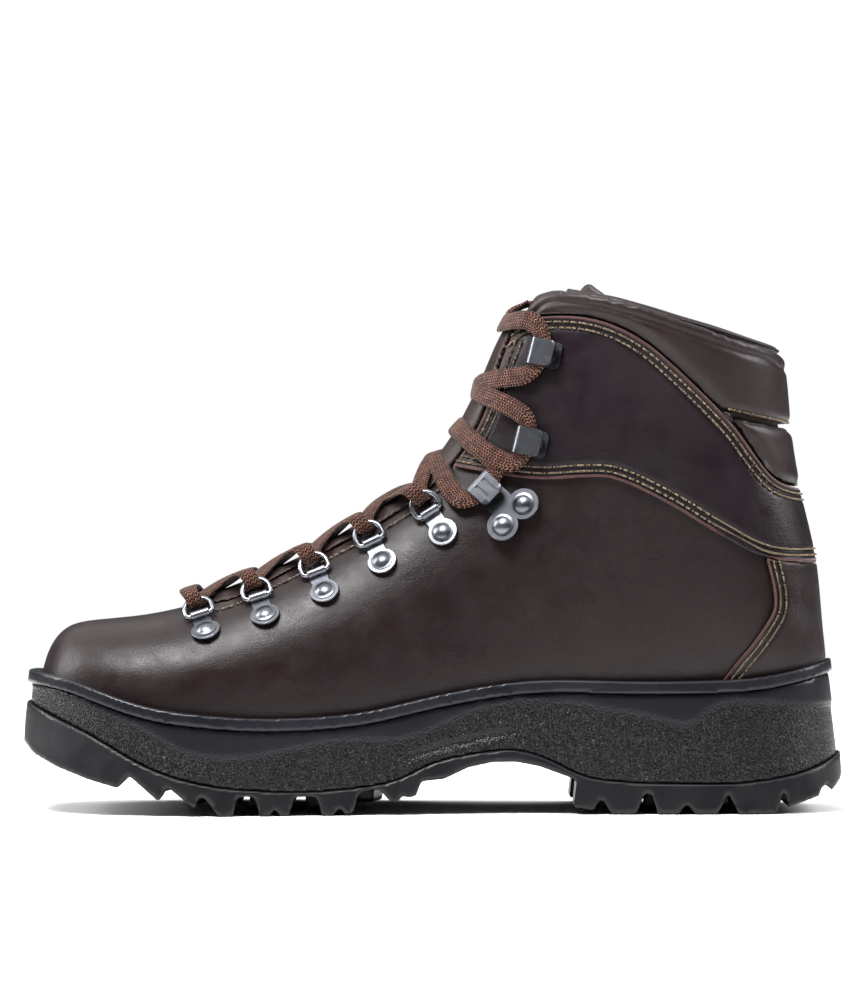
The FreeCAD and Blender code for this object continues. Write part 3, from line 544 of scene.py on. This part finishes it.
def stitch_row(name, run, outs, mat):
    """One row of thread along a run of points."""
    path = even(np.hstack([run, outs]), STITCH_STEP)
    verts, faces = [], []
    sides = 6
    for start in range(0, len(path) - STITCH_SPAN, STITCH_PITCH):
        faces += tube_faces(len(STITCH_RISE), sides, len(verts))
        for share, height in STITCH_RISE:
            row = path[start + int(round(share * STITCH_SPAN))]
            p, n = row[:3], row[3:] / np.linalg.norm(row[3:])
            t = path[start + STITCH_SPAN][:3] - path[start][:3]
            t /= np.linalg.norm(t)
            w = np.cross(t, n)
            w /= np.linalg.norm(w)
            centre = p + n * (0.12 * MM + THREAD * height * 0.6)
            for k in range(sides):
                turn = 2 * math.pi * k / sides
                verts.append(centre + THREAD * (w * math.cos(turn) + n * math.sin(turn)))
    sewn_on(name, verts, faces, mat)


def cut_line(name, run, outs, mat, wide=0.5 * MM, high=0.3 * MM):
    """A narrow rounded band along a border: a panel's cut edge, or the collar's binding."""
    path = even(np.hstack([run, outs]), 0.5 * MM)
    head, up = unit(np.gradient(path[:, :3], axis=0)), unit(path[:, 3:])
    across = np.cross(head, up)
    sides = 8
    turn = 2 * np.pi * np.arange(sides) / sides
    verts = (path[:, None, :3] + across[:, None] * (wide * np.cos(turn))[None, :, None]
             + up[:, None] * (high * np.sin(turn) - 0.1 * MM)[None, :, None])
    sewn_on(name, verts.reshape(-1, 3), tube_faces(len(path), sides), mat)


# ---------------------------------------------------------------- design lines
# Side-view lines of the boot in millimetres, x towards the heel and z up.
THROAT = [(-95, 79.5), (-89, 77.9), (-79.6, 78.2), (-59, 87), (-40, 96.8),
          (-19, 108), (-5, 117.4), (7, 129), (15.5, 141.5), (21.5, 155),
          (25.5, 168), (29.5, 178)]
CUFF_TOP = [(24, 176.5), (27.5, 179.5), (33, 183.4), (40, 185.2), (49, 185.5),
            (57, 184.7), (65, 182.6), (72.5, 179.3), (80.5, 174.3), (88.5, 167.6),
            (104, 152.8), (113.5, 142.6), (120, 133.8), (128, 124.7),
            (135, 121.7), (155, 121)]
CUFF_BOTTOM = [(4, 130), (14, 128), (28, 125.6), (41, 124.3), (57, 125.1),
               (65, 124.9), (72.5, 122.6), (88.5, 114.7), (104, 105.3), (120, 96.6),
               (130, 94), (155, 94)]
COLLAR_TOP = [(27, 181.5), (30, 183), (34.5, 190), (42, 194.8), (55, 194.2),
              (66, 192), (83, 187), (100, 181.2), (117, 175.6), (127, 173),
              (133.5, 169.5)]
PAD_SEAM = [(106, 149.4), (113, 148.1), (122, 146.3), (132, 144.6), (150, 142)]
COVER_EDGE = [(123.5, 98), (125.7, 89.5), (127.3, 81), (127, 75.5), (124, 70),
              (119.5, 63.6), (112.4, 55), (107, 47.6)]
# Top of the midsole's pebbled zone, over the arch and the heel.
PEBBLE_TOP = [(-165, 47.5), (-150, 46.8), (-137, 44), (-125, 39.6), (-114, 35),
              (-104, 30), (-95, 25), (-87.5, 22.4), (-72, 21.3), (-61, 22.7), (-50, 24.8),
              (-40, 26.9), (-25.3, 28), (-15, 27.5), (-4.9, 30), (10.5, 36.4),
              (22, 40.2), (39.4, 42.2), (50.7, 41.5), (62.3, 39.3), (77.7, 36.7),
              (95.9, 33.6), (101, 37.5), (108.8, 41.1), (119.6, 41.4), (134, 40.7),
              (165, 39)]
ARCH_CREASE = [(-14, 20), (-2, 23.5), (12, 27), (24, 29.6), (34, 30.6)]

# ---------------------------------------------------------------- upper
throat = smooth_line(THROAT)
cuff_top = smooth_line(CUFF_TOP)
cuff_bottom = smooth_line(CUFF_BOTTOM)
collar_top = smooth_line(COLLAR_TOP)
pad_seam = smooth_line(PAD_SEAM)
cover_edge = smooth_line(COVER_EDGE)

# Distances from a panel's edge, in millimetres: its two rows of stitches and its cut.
ROWS = (("a", 2.3), ("b", 4.5))
CUT_AT = 0.55

skin_tree = tree_of("vamp_and_quarters")
cuff_tree = tree_of("ankle_cuff")
cover_tree = tree_of("heel_counter_cover")
pad_tree = tree_of("collar_pad_upper", "collar_pad_lower")

vamp = moulded("vamp_leather", ["vamp_and_quarters"], 0.9 * MM, 3, MATS["upper"])
cuff = moulded("cuff_leather", ["ankle_cuff"], 0.7 * MM, 3, MATS["cuff"])
cover = moulded("counter_leather", ["heel_counter_cover"], 0.7 * MM, 3, MATS["upper"])
for piece, node in ((vamp, "vamp_and_quarters"), (cuff, "ankle_cuff"),
                    (cover, "heel_counter_cover")):
    cut_edges(piece, node)


def laid(tree, line, wrapped):
    """A line's runs: one wrapped round the heel, or one on each side."""
    if wrapped:
        return [("", *wrapped_run(tree, line))]
    return [("_" + side_name, *side_run(tree, line, side)) for side_name, side in SIDES]


def two_rows(name, tree, line, piece, wrapped, toward=1):
    """A double row of stitches inside a panel's edge, the dip it pulls, and the cut."""
    runs = []
    for row, offset in ROWS:
        for tag, run, outs in laid(tree, shifted(line, offset * toward), wrapped):
            stitch_row("stitch_%s_%s" % (name, row + tag), run, outs, MATS["thread"])
            runs.append(run)
    for tag, run, outs in laid(tree, shifted(line, CUT_AT * toward), wrapped):
        cut_line("cut_edge_" + name + tag, run, outs, MATS["raw"])
    press(piece, runs, 0.32 * MM, 0.9 * MM)


two_rows("cuff_top", cuff_tree, cuff_top, cuff, True, -1)
two_rows("cuff_bottom", cuff_tree, cuff_bottom, cuff, True)
two_rows("counter", cover_tree, cover_edge, cover, False)
front = throat[throat[:, 1] > 134]
two_rows("cuff_front", cuff_tree, front, cuff, False, -1)
low = throat[(throat[:, 1] < 124) & (throat[:, 0] > -86)]
for side_name, side in SIDES:
    run, outs = side_run(skin_tree, shifted(low, -2.6), side)
    stitch_row("stitch_throat_" + side_name, run, outs, MATS["thread"])
    press(vamp, [run], 0.25 * MM, 0.8 * MM)


# ---------------------------------------------------------------- collar


def inflated(obj, pressure, cap, frames=14):
    """Swells a closed pad by cloth simulation, each point moving at most cap."""
    before = coords(obj.data)
    cloth_mod = obj.modifiers.new("air", "CLOTH")
    settings = cloth_mod.settings
    settings.quality = 4
    settings.use_pressure = True
    settings.uniform_pressure_force = pressure
    settings.effector_weights.gravity = 0
    settings.tension_stiffness = 25
    settings.compression_stiffness = 25
    settings.bending_stiffness = 0.6
    cloth_mod.collision_settings.use_collision = False
    cloth_mod.point_cache.frame_start = 1
    cloth_mod.point_cache.frame_end = frames
    for number in range(1, frames + 1):
        scene.frame_set(number)
    graph = bpy.context.evaluated_depsgraph_get()
    swollen = bpy.data.meshes.new_from_object(obj.evaluated_get(graph))
    after = coords(swollen)
    obj.modifiers.clear()
    bpy.data.meshes.remove(swollen)
    scene.frame_set(1)
    move = after - before
    length = np.linalg.norm(move, axis=1)[:, None]
    set_coords(obj.data, before + move * np.minimum(1.0, cap / np.maximum(length, 1e-9)))


def pad(name, node):
    obj = moulded(name, [node], 1.6 * MM, 4, MATS["collar"])
    inflated(obj, 3.0, 1.0 * MM)
    subdivide = obj.modifiers.new("fine", "SUBSURF")
    subdivide.levels = 1
    subdivide.render_levels = 1
    apply_modifiers(obj)
    finish_mesh(obj, MATS["collar"])
    return obj


pad_upper = pad("collar_large_pad", "collar_pad_upper")
pad_lower = pad("collar_heel_pad", "collar_pad_lower")

# Each pad is drawn down where it meets the cuff, its neighbour and the top binding.
seam_run = wrapped_run(pad_tree, pad_seam)[0]
top_run = wrapped_run(pad_tree, shifted(collar_top, -4.2))[0]
foot_run = wrapped_run(pad_tree, shifted(cuff_top, 1.2))[0]
heel_seam = seam_run[seam_run[:, 0] > 0.1055]
for piece in (pad_upper, pad_lower):
    press(piece, [heel_seam], 1.5 * MM, 2.6 * MM)
    press(piece, [foot_run], 1.1 * MM, 2.4 * MM)
press(pad_upper, [top_run], 0.7 * MM, 1.3 * MM)
near, near_outs = wrapped_run(pad_tree, shifted(pad_seam, 1.9))
keep = near[:, 0] > 0.107
stitch_row("stitch_pad_seam", near[keep] - near_outs[keep] * 1.1 * MM, near_outs[keep],
           MATS["thread"])

tongue_face = moulded("tongue_leather", ["tongue_face"], 0.8 * MM, 3, MATS["tongue"])
wings = moulded("tongue_lined_wings", ["tongue_wings"], 0.9 * MM, 3, MATS["tongue"])
lining = moulded("lining_leather", ["lining"], 1.0 * MM, 3, MATS["lining"])


SHAFT_AXIS = 0.085      # upright axis of the shaft's mouth
BINDING_REACH = 2.55    # the binding's end on either side, in radians from the heel
BINDING_SECTOR = 0.09   # half the angle over which the rim is averaged


def collar_binding():
    """A rolled leather binding that closes the collar's top, from throat to throat."""
    rim = coords(NODES["lining"].data)
    rim = rim[rim[:, 2] > 0.165]
    angle = np.arctan2(rim[:, 1], rim[:, 0] - SHAFT_AXIS)
    path = []
    for way in np.linspace(-BINDING_REACH, BINDING_REACH, 61):
        sector = rim[np.abs(angle - way) < BINDING_SECTOR]
        if len(sector):
            top = sector[sector[:, 2] > sector[:, 2].max() - 1.2 * MM]
            r = np.hypot(top[:, 0] - SHAFT_AXIS, top[:, 1]).max() + 1.1 * MM
            path.append((SHAFT_AXIS + r * math.cos(way), r * math.sin(way),
                         top[:, 2].max() - 0.9 * MM))
    path = np.array(path)
    for _ in range(4):
        path[1:-1] = (path[:-2] + 2 * path[1:-1] + path[2:]) / 4
    ups = np.tile((0.0, 0.0, 1.0), (len(path), 1))
    cut_line("collar_binding", path, ups, MATS["collar"], 2.1 * MM, 1.9 * MM)
    outward = path - (SHAFT_AXIS, 0, 0)
    outward[:, 2] = 0
    outward = unit(outward)
    stitch_row("stitch_collar_top", path + (0, 0, 0.2 * MM) + outward * 2.0 * MM, outward,
               MATS["dark_thread"])


collar_binding()


TONGUE_X = (-0.09, -0.06, 0.0, 0.04)
TONGUE_HALF = (0.012, 0.016, 0.019, 0.021)      # the tongue's half width at each x


def plumped(obj, rise):
    """Foam lifts the tongue's middle between its two edges."""
    co, out = coords(obj.data), normals(obj.data)
    half = np.interp(co[:, 0], TONGUE_X, TONGUE_HALF)
    share = np.clip(1 - (co[:, 1] / half) ** 2, 0, 1)
    set_coords(obj.data, co + out * (rise * share ** 0.7 * (out[:, 2] > 0))[:, None])


plumped(tongue_face, 1.1 * MM)
for piece in (tongue_face, wings, lining, pad_upper, pad_lower):
    attribute(piece.data, "raw_edge", np.zeros(len(piece.data.vertices)))

# ---------------------------------------------------------------- sole
midsole = moulded("midsole_rubber", ["midsole"], 1.0 * MM, 2, MATS["midsole"])
bead = moulded("rand_bead_rubber", ["rand_bead"], 0.7 * MM, 6, MATS["bead"])
outsole = moulded("outsole_rubber", ["outsole"], 0.9 * MM, 2, MATS["outsole"])
footbed = moulded("footbed_textile", ["footbed"], 1.4 * MM, 5, MATS["footbed"])


PEBBLE_SINK, PEBBLE_EDGE = 0.7 * MM, 1.6 * MM
CREASE_SINK, CREASE_HALF, CREASE_FADE = 0.9 * MM, 1.4 * MM, 10 * MM


def sculpt_midsole():
    """The sidewall: a smooth band, a pebbled zone set back below it, and a crease."""
    co, out = coords(midsole.data), normals(midsole.data)
    top = smooth_line(PEBBLE_TOP) * MM
    line_z = np.interp(co[:, 0], top[:, 0], top[:, 1])
    below = (line_z - co[:, 2]) / PEBBLE_EDGE
    zone = 1 / (1 + np.exp(-np.clip(below * 3, -30, 30)))
    wall = np.clip((0.75 - np.abs(out[:, 2])) / 0.25, 0, 1)
    sink = PEBBLE_SINK * zone * wall
    crease = smooth_line(ARCH_CREASE) * MM
    crease_z = np.interp(co[:, 0], crease[:, 0], crease[:, 1])
    inside = (co[:, 0] > crease[0, 0]) & (co[:, 0] < crease[-1, 0])
    fade = np.clip(np.minimum(co[:, 0] - crease[0, 0], crease[-1, 0] - co[:, 0])
                   / CREASE_FADE, 0, 1) * inside
    sink += CREASE_SINK * wall * fade * np.exp(-((co[:, 2] - crease_z) / CREASE_HALF) ** 2)
    set_coords(midsole.data, co - out * sink[:, None])
    attribute(midsole.data, "pebble", zone * wall)


sculpt_midsole()

# ---------------------------------------------------------------- hardware
CAD_LOOKS = {
    "toe_puff": "stiffener", "heel_stiffener": "stiffener", "interlining": "foam",
    "tongue_foam": "tongue", "insole_board": "board", "shank": "steel",
    "aglet_a": "aglet", "aglet_b": "aglet",
}


def dress(node, mat, round_mm=0.0):
    """A CAD node kept as it is, with its finish and, for metal, softened edges."""
    obj = NODES[node]
    finish_mesh(obj, mat)
    if round_mm:
        weld = obj.modifiers.new("weld", "WELD")
        weld.merge_threshold = 1e-6
        bevel = obj.modifiers.new("softened", "BEVEL")
        bevel.width = round_mm * MM
        bevel.segments = 2
        bevel.limit_method = "ANGLE"
        bevel.angle_limit = math.radians(50)
        tidy = obj.modifiers.new("shading", "WEIGHTED_NORMAL")
        tidy.keep_sharp = False


for node, look in CAD_LOOKS.items():
    dress(node, MATS[look])
for node in NODES:
    if node.startswith("d_ring_"):
        dress(node, MATS["bright"])
    elif "rivets" in node:
        dress(node, MATS["gunmetal"], 0.15)
    elif "hook" in node or "clips" in node:
        dress(node, MATS["gunmetal"], 0.25)

# ---------------------------------------------------------------- lace
LACE_WIDE, LACE_THICK = 7.4 * MM, 1.7 * MM
RING_WIDE, RING_THICK = 5.9 * MM, 2.0 * MM      # where a ring's bow squeezes it
# Through a ring, in millimetres from its hinge: along its bow, and out of the leather.
AT_RING = [(12.8, 1.8), (8.0, 3.2), (4.9, 0.0), (8.0, -3.2), (12.6, -4.6)]
HOOK_PLATE, HOOK_SLOT = 1.1, 3.2
HOOK_LEVEL = HOOK_PLATE + HOOK_SLOT / 2
# Through a hook, in millimetres from its rivet: along the throat, towards it, and out.
AT_HOOK = [(-11.0, 8.6, 0.9), (-6.6, 3.6, 0.0), (0.0, 2.6, 0.0), (6.6, 3.6, 0.0),
           (11.0, 8.6, 0.9)]
# How far the lower and the upper strand pass over the tongue's ridge, by level.
RIDGE_LIFTS = [(2.2, 4.2), (2.2, 4.2), (2.2, 4.2), (2.2, 4.4), (2.4, 4.8), (2.6, 5.4),
               (4.2, 7.2)]
# Side-view places of the hooks: rivet, and a point towards the throat.
LOCK_PLACE = ((22.3, 118.1), (14.9, 125.0))
HOOK_PLACES = [((38.8, 137.4), (28.8, 139.6)), ((44.3, 170.6), (34.3, 172.6))]
# The lace's way over the tongue's top, and its two ends inside the boot.
TOP_A = [(32.6, -23.0, 184.6), (26.4, -9.5, 183.4), (25.9, 1.5, 183.6),
         (29.2, 4.8, 188.2), (36.5, 4.8, 191.4)]
TOP_B = [(34.6, 26.6, 184.8), (29.8, 19.0, 187.4), (31.0, 10.6, 190.2),
         (36.8, 9.4, 191.5)]
TAIL_A = [TOP_A[-1], (42.4, 3.6, 191.6), (47.0, -1.0, 187.0), (51.0, -8.5, 177.0),
          (55.5, -16.0, 160.0), (60.0, -21.0, 140.0), (62.0, -22.6, 116.0),
          (62.4, -23.0, 92.0), (61.0, -22.6, 70.0), (55.0, -22.0, 55.5),
          (43.0, -21.0, 49.4), (26.0, -20.0, 47.2), (9.0, -19.0, 44.5)]
TAIL_B = [TOP_B[-1], (43.2, 8.4, 192.9), (50.0, 8.4, 189.0), (53.6, 10.5, 177.0),
          (57.5, 14.5, 160.0), (61.0, 17.8, 140.0), (63.0, 20.0, 116.0),
          (63.0, 21.0, 92.0), (62.0, 21.5, 70.0), (56.0, 21.5, 55.5),
          (44.0, 20.5, 49.4), (29.0, 19.5, 47.4), (14.0, 18.5, 45.1)]
JOINTS = {j["name"]: j for j in frame["joints"]}
outer_tree = tree_of("vamp_and_quarters", "ankle_cuff", "tongue_face")


class Stop:
    """One control point of a lace, with the way its flat side faces there."""

    def __init__(self, spot, face=None, bar=None, wide=LACE_WIDE, thick=LACE_THICK):
        self.spot = V(spot)
        self.face, self.bar, self.wide, self.thick = face, bar, wide, thick


def ring_stops(side_name, side, number):
    """Over a ring's bow, down through it and out beneath."""
    joint = JOINTS["ring_swing_%s_%d" % (side_name, number)]
    pivot, bar = V(joint["pos_m"]), V(joint["axis"]).normalized()
    middle = V(coords(NODES["d_ring_%s_%d" % (side_name, number)].data).mean(axis=0))
    up = middle - pivot
    up = (up - bar * up.dot(bar)).normalized()
    out = bar.cross(up)
    rising = -side
    stops = []
    for i, (y, z) in enumerate(AT_RING):
        x = (i - 2) * 0.9 * rising
        tight = i in (1, 2, 3)
        stops.append(Stop(pivot + (bar * x + up * y + out * z) * MM, bar=bar * rising,
                          wide=RING_WIDE if tight else LACE_WIDE * 0.92,
                          thick=RING_THICK if tight else LACE_THICK))
    return pivot + up * 8.2 * MM, stops


def surface_frame(tree, place, side, seat):
    """Frame of a hook: along the throat, towards it, and out of the leather."""
    (ax, az), (bx, bz) = [(x * MM, z * MM) for x, z in place]
    a, b = cast_side(tree, ax, az, side)[0], cast_side(tree, bx, bz, side)[0]
    step = 1.5 * MM
    out = V((0, 0, 0))
    for x, z in ((ax, az), (bx, bz)):
        across = cast_side(tree, x + step, z, side)[0] - cast_side(tree, x - step, z, side)[0]
        rise = cast_side(tree, x, z + step, side)[0] - cast_side(tree, x, z - step, side)[0]
        turn = across.cross(rise).normalized()
        out += turn if turn.y * side > 0 else -turn
    toward = (b - a).normalized()
    out = (out - toward * out.dot(toward)).normalized()
    return a + out * seat, toward.cross(out), toward, out


def hook_stops(tree, place, side, seat):
    """Up through a hook, from below it to above it."""
    origin, along, toward, out = surface_frame(tree, place, side, seat)
    rising = -side
    stops = [Stop(origin + (along * x * rising + toward * y + out * (HOOK_LEVEL + z)) * MM,
                  face=out, wide=LACE_WIDE * (0.86 if abs(x) < 8 else 1.0))
             for x, y, z in AT_HOOK]
    return origin + toward * 8 * MM, stops


def ridge_stop(low, high, lift):
    """Where a strand passes over the tongue's ridge."""
    middle = (low + high) * 0.5
    run = V((high.x - low.x, 0, high.z - low.z)).normalized()
    out = V((-run.z, 0, run.x))
    start = V((middle.x, 0.0003, middle.z)) + out * 0.05
    top = outer_tree.ray_cast(start, -out)[0]
    return Stop(V((top.x, 0, top.z)) + out * lift, face=out)


def throat_out(x):
    """The way out of the boot, square to the throat's line at this x, in metres."""
    line, reach = throat * MM, 8 * MM
    low, high = np.interp([x - reach, x + reach], line[:, 0], line[:, 1])
    run = V((2 * reach, 0, high - low)).normalized()
    return V((-run.z, 0, run.x))


CORE_DEEP = 22 * MM     # how far inside a strand the rays that test it meet
RAY_LONG = 70 * MM
MOST_LIFT = 12 * MM     # a strand further under than this is inside the boot on purpose


def averaged(rows, kernel):
    """Each column of the rows, averaged with a kernel of odd length."""
    side = len(kernel) // 2
    return np.stack([np.convolve(np.pad(column, side, "edge"), kernel, "valid")
                     for column in rows.T], 1)


def clear_of_leather(path, gap):
    """Lifts the points of a strand that lie under the tongue or the quarters."""
    lift = np.zeros_like(path)
    for i, p in enumerate(path):
        spot = V(p)
        core = V((spot.x, 0, spot.z)) - throat_out(p[0]) * CORE_DEEP
        ray = (spot - core).normalized()
        hit, normal, index, distance = outer_tree.ray_cast(core + ray * RAY_LONG, -ray)
        if hit is None:
            continue
        short = (hit - core).length + gap / max(0.5, ray.dot(normal)) - (spot - core).length
        if 0 < short < MOST_LIFT:
            lift[i] = ray * short
    high = np.linalg.norm(lift, axis=1)
    wide = [lift[max(0, i - 3):i + 4][np.argmax(high[max(0, i - 3):i + 4])]
            for i in range(len(lift))]
    kernel = np.hanning(13)[1:-1]
    return path + averaged(np.array(wide), kernel / kernel.sum())


levels = {}
for side_name, side in SIDES:
    rows = [ring_stops(side_name, side, number) for number in range(1, 6)]
    rows.append(hook_stops(skin_tree, LOCK_PLACE, side, 1.0 * MM))
    rows += [hook_stops(cuff_tree, place, side, 0.35 * MM) for place in HOOK_PLACES]
    levels[side_name] = rows
medial, lateral = levels["medial"], levels["lateral"]


def leg(first, lifts):
    """One leg of the lace, changing sides at every level."""
    stops = []
    for level in range(len(medial)):
        own = (medial if (level + first) % 2 else lateral)[level][1]
        stops += own
        if level < len(medial) - 1:
            low = (medial[level][0] + lateral[level][0]) * 0.5
            high = (medial[level + 1][0] + lateral[level + 1][0]) * 0.5
            lift = RIDGE_LIFTS[level][lifts[level % 2]] * MM
            stops.append(ridge_stop(low, high, lift))
    return stops


def bspline(values):
    """A clamped quadratic B-spline through rows of values, finely sampled."""
    rows = np.asarray(values, float)
    out = [rows[:1]]
    t = np.linspace(0, 1, 17)[1:, None]
    for i in range(1, len(rows) - 1):
        a = rows[0] if i == 1 else (rows[i - 1] + rows[i]) / 2
        b = rows[-1] if i == len(rows) - 2 else (rows[i] + rows[i + 1]) / 2
        out.append((1 - t) ** 2 * a + 2 * t * (1 - t) * rows[i] + t ** 2 * b)
    return np.concatenate(out)


STRIP_STEP = 0.45 * MM


def strip(name, stops, over=0.0):
    """A flat braided strip along its stops, its width lying the way they face."""
    spots = np.array([s.spot for s in stops])
    heads = unit(np.gradient(spots, axis=0))
    bars = []
    for stop, head in zip(stops, heads):
        if stop.bar is not None:
            bar = np.array(stop.bar)
        else:
            face = stop.face
            if face is None:
                face = outer_tree.find_nearest(stop.spot)[1]
            bar = np.cross(np.array(face), head)
        if bars and np.dot(bar, bars[-1]) < 0:
            bar = -bar
        bars.append(bar / max(np.linalg.norm(bar), 1e-9))
    sizes = np.array([[s.wide, s.thick] for s in stops])
    rows = bspline(np.hstack([spots, bars, sizes]))
    if over:
        rows[:, :3] = clear_of_leather(rows[:, :3], over)
    runs = np.linalg.norm(np.diff(rows[:, :3], axis=0), axis=1)
    along = np.concatenate([[0], np.cumsum(runs)])
    count = int(along[-1] / STRIP_STEP) + 1
    at = np.linspace(0, along[-1], count)
    path = np.stack([np.interp(at, along, rows[:, k]) for k in range(rows.shape[1])], 1)
    head = unit(np.gradient(path[:, :3], axis=0))
    bar = path[:, 3:6]
    bar = averaged(bar, np.ones(9) / 9)
    bar = unit(bar - head * np.sum(bar * head, axis=1)[:, None])
    face = np.cross(head, bar)
    sides = 18
    turn = 2 * np.pi * np.arange(sides) / sides
    across = np.sign(np.cos(turn)) * np.abs(np.cos(turn)) ** 0.55 / 2
    lift = np.sign(np.sin(turn)) * np.abs(np.sin(turn)) ** 0.75 / 2
    verts = (path[:, None, :3] + bar[:, None] * (across[None, :, None] * path[:, 6, None, None])
             + face[:, None] * (lift[None, :, None] * path[:, 7, None, None]))
    obj = sewn_on(name, verts.reshape(-1, 3), tube_faces(len(path), sides), MATS["braid"])
    uv = obj.data.uv_layers.new(name="along")
    index = np.empty(len(obj.data.loops), int)
    obj.data.loops.foreach_get("vertex_index", index)
    flat = np.stack([at[index // sides], across[index % sides] * LACE_WIDE], 1)
    uv.data.foreach_set("uv", flat.ravel())
    return obj, path[:, :3], at[-1]


def plain(points):
    return [Stop(V(p) * MM) for p in points]


legs_a, legs_b = leg(0, (0, 1)), leg(1, (1, 0))
route = (legs_a + plain(TOP_A))[::-1] + legs_b + plain(TOP_B)
lace = strip("lace_braid", route, over=1.3 * MM)[0]
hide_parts("lace")
for tag, points in (("a", TAIL_A), ("b", TAIL_B)):
    stops = plain(points)
    for i, stop in enumerate(stops):
        stop.bar = V((0, 1, 0)) if i < 3 else V((1, 0, 0.3)).normalized()
    tail, path, length = strip("lace_braid_tail_" + tag, stops)
    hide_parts("lace_tail_" + tag)

# ---------------------------------------------------------------- stage
FLOOR_RADIUS, FLOOR_SIDES = 1.6, 64
pale = Shader("pale_floor", 0.9)
pale.colour((0.95, 0.95, 0.95))
floor_edge = [(FLOOR_RADIUS * math.cos(2 * math.pi * t / FLOOR_SIDES),
               FLOOR_RADIUS * math.sin(2 * math.pi * t / FLOOR_SIDES), 0)
              for t in range(FLOOR_SIDES)]
floor = link("floor", new_mesh("floor", floor_edge, [tuple(range(FLOOR_SIDES))]))
floor.location.z = -0.2 * MM
finish_mesh(floor, pale.mat)

world = bpy.data.worlds.new("studio")
scene.world = world
world.use_nodes = True
sky = world.node_tree.nodes["Background"].inputs
sky["Color"].default_value = (1, 1, 1, 1)
sky["Strength"].default_value = 0.1

# A white dome that only the camera sees, so that reflections stay dark.
glow = bpy.data.materials.new("white_surround")
glow.use_nodes = True
glow.node_tree.nodes.clear()
shine = glow.node_tree.nodes.new("ShaderNodeEmission")
surface = glow.node_tree.nodes.new("ShaderNodeOutputMaterial")
glow.node_tree.links.new(shine.outputs["Emission"], surface.inputs["Surface"])
bpy.ops.mesh.primitive_uv_sphere_add(radius=3.6, segments=48, ring_count=24)
surround = bpy.context.object
surround.name = "surround"
surround.data.materials.append(glow)
surround.visible_diffuse = surround.visible_glossy = False
surround.visible_transmission = surround.visible_shadow = False


def lamp(name, at, to, size, watts):
    data = bpy.data.lights.new(name, "AREA")
    data.shape = "RECTANGLE"
    data.size, data.size_y = size
    data.energy = watts
    obj = bpy.data.objects.new(name, data)
    scene.collection.objects.link(obj)
    obj.location = at
    obj.rotation_euler = (V(to) - V(at)).to_track_quat("-Z", "Y").to_euler()


lamp("ceiling", (0.0, 1.3, 3.3), (0, 1.3, 0), (9, 8), 290)
lamp("top_softbox", (-0.3, -0.45, 1.0), (-0.05, 0, 0.08), (0.5, 0.35), 20)
lamp("toe_rim", (-1.1, 0.15, 0.65), (-0.1, 0, 0.07), (0.4, 0.6), 11)
lamp("back_rim", (1.0, 0.0, 0.7), (0.08, 0, 0.1), (0.4, 0.6), 11)

LENS, SENSOR = 190.0, 36.0
VIEW_HEIGHT = 0.3756
CENTRE = V((0.0002, -0.02, 0.1166))
lens = bpy.data.cameras.new("camera")
lens.lens = LENS
lens.sensor_width = SENSOR
lens.clip_end = 20.0
camera = bpy.data.objects.new("camera", lens)
scene.collection.objects.link(camera)
camera.location = CENTRE + V((0, -VIEW_HEIGHT * LENS / SENSOR, 0))
camera.rotation_euler = (math.radians(90), 0, 0)
scene.camera = camera
scene.view_settings.view_transform = "Standard"
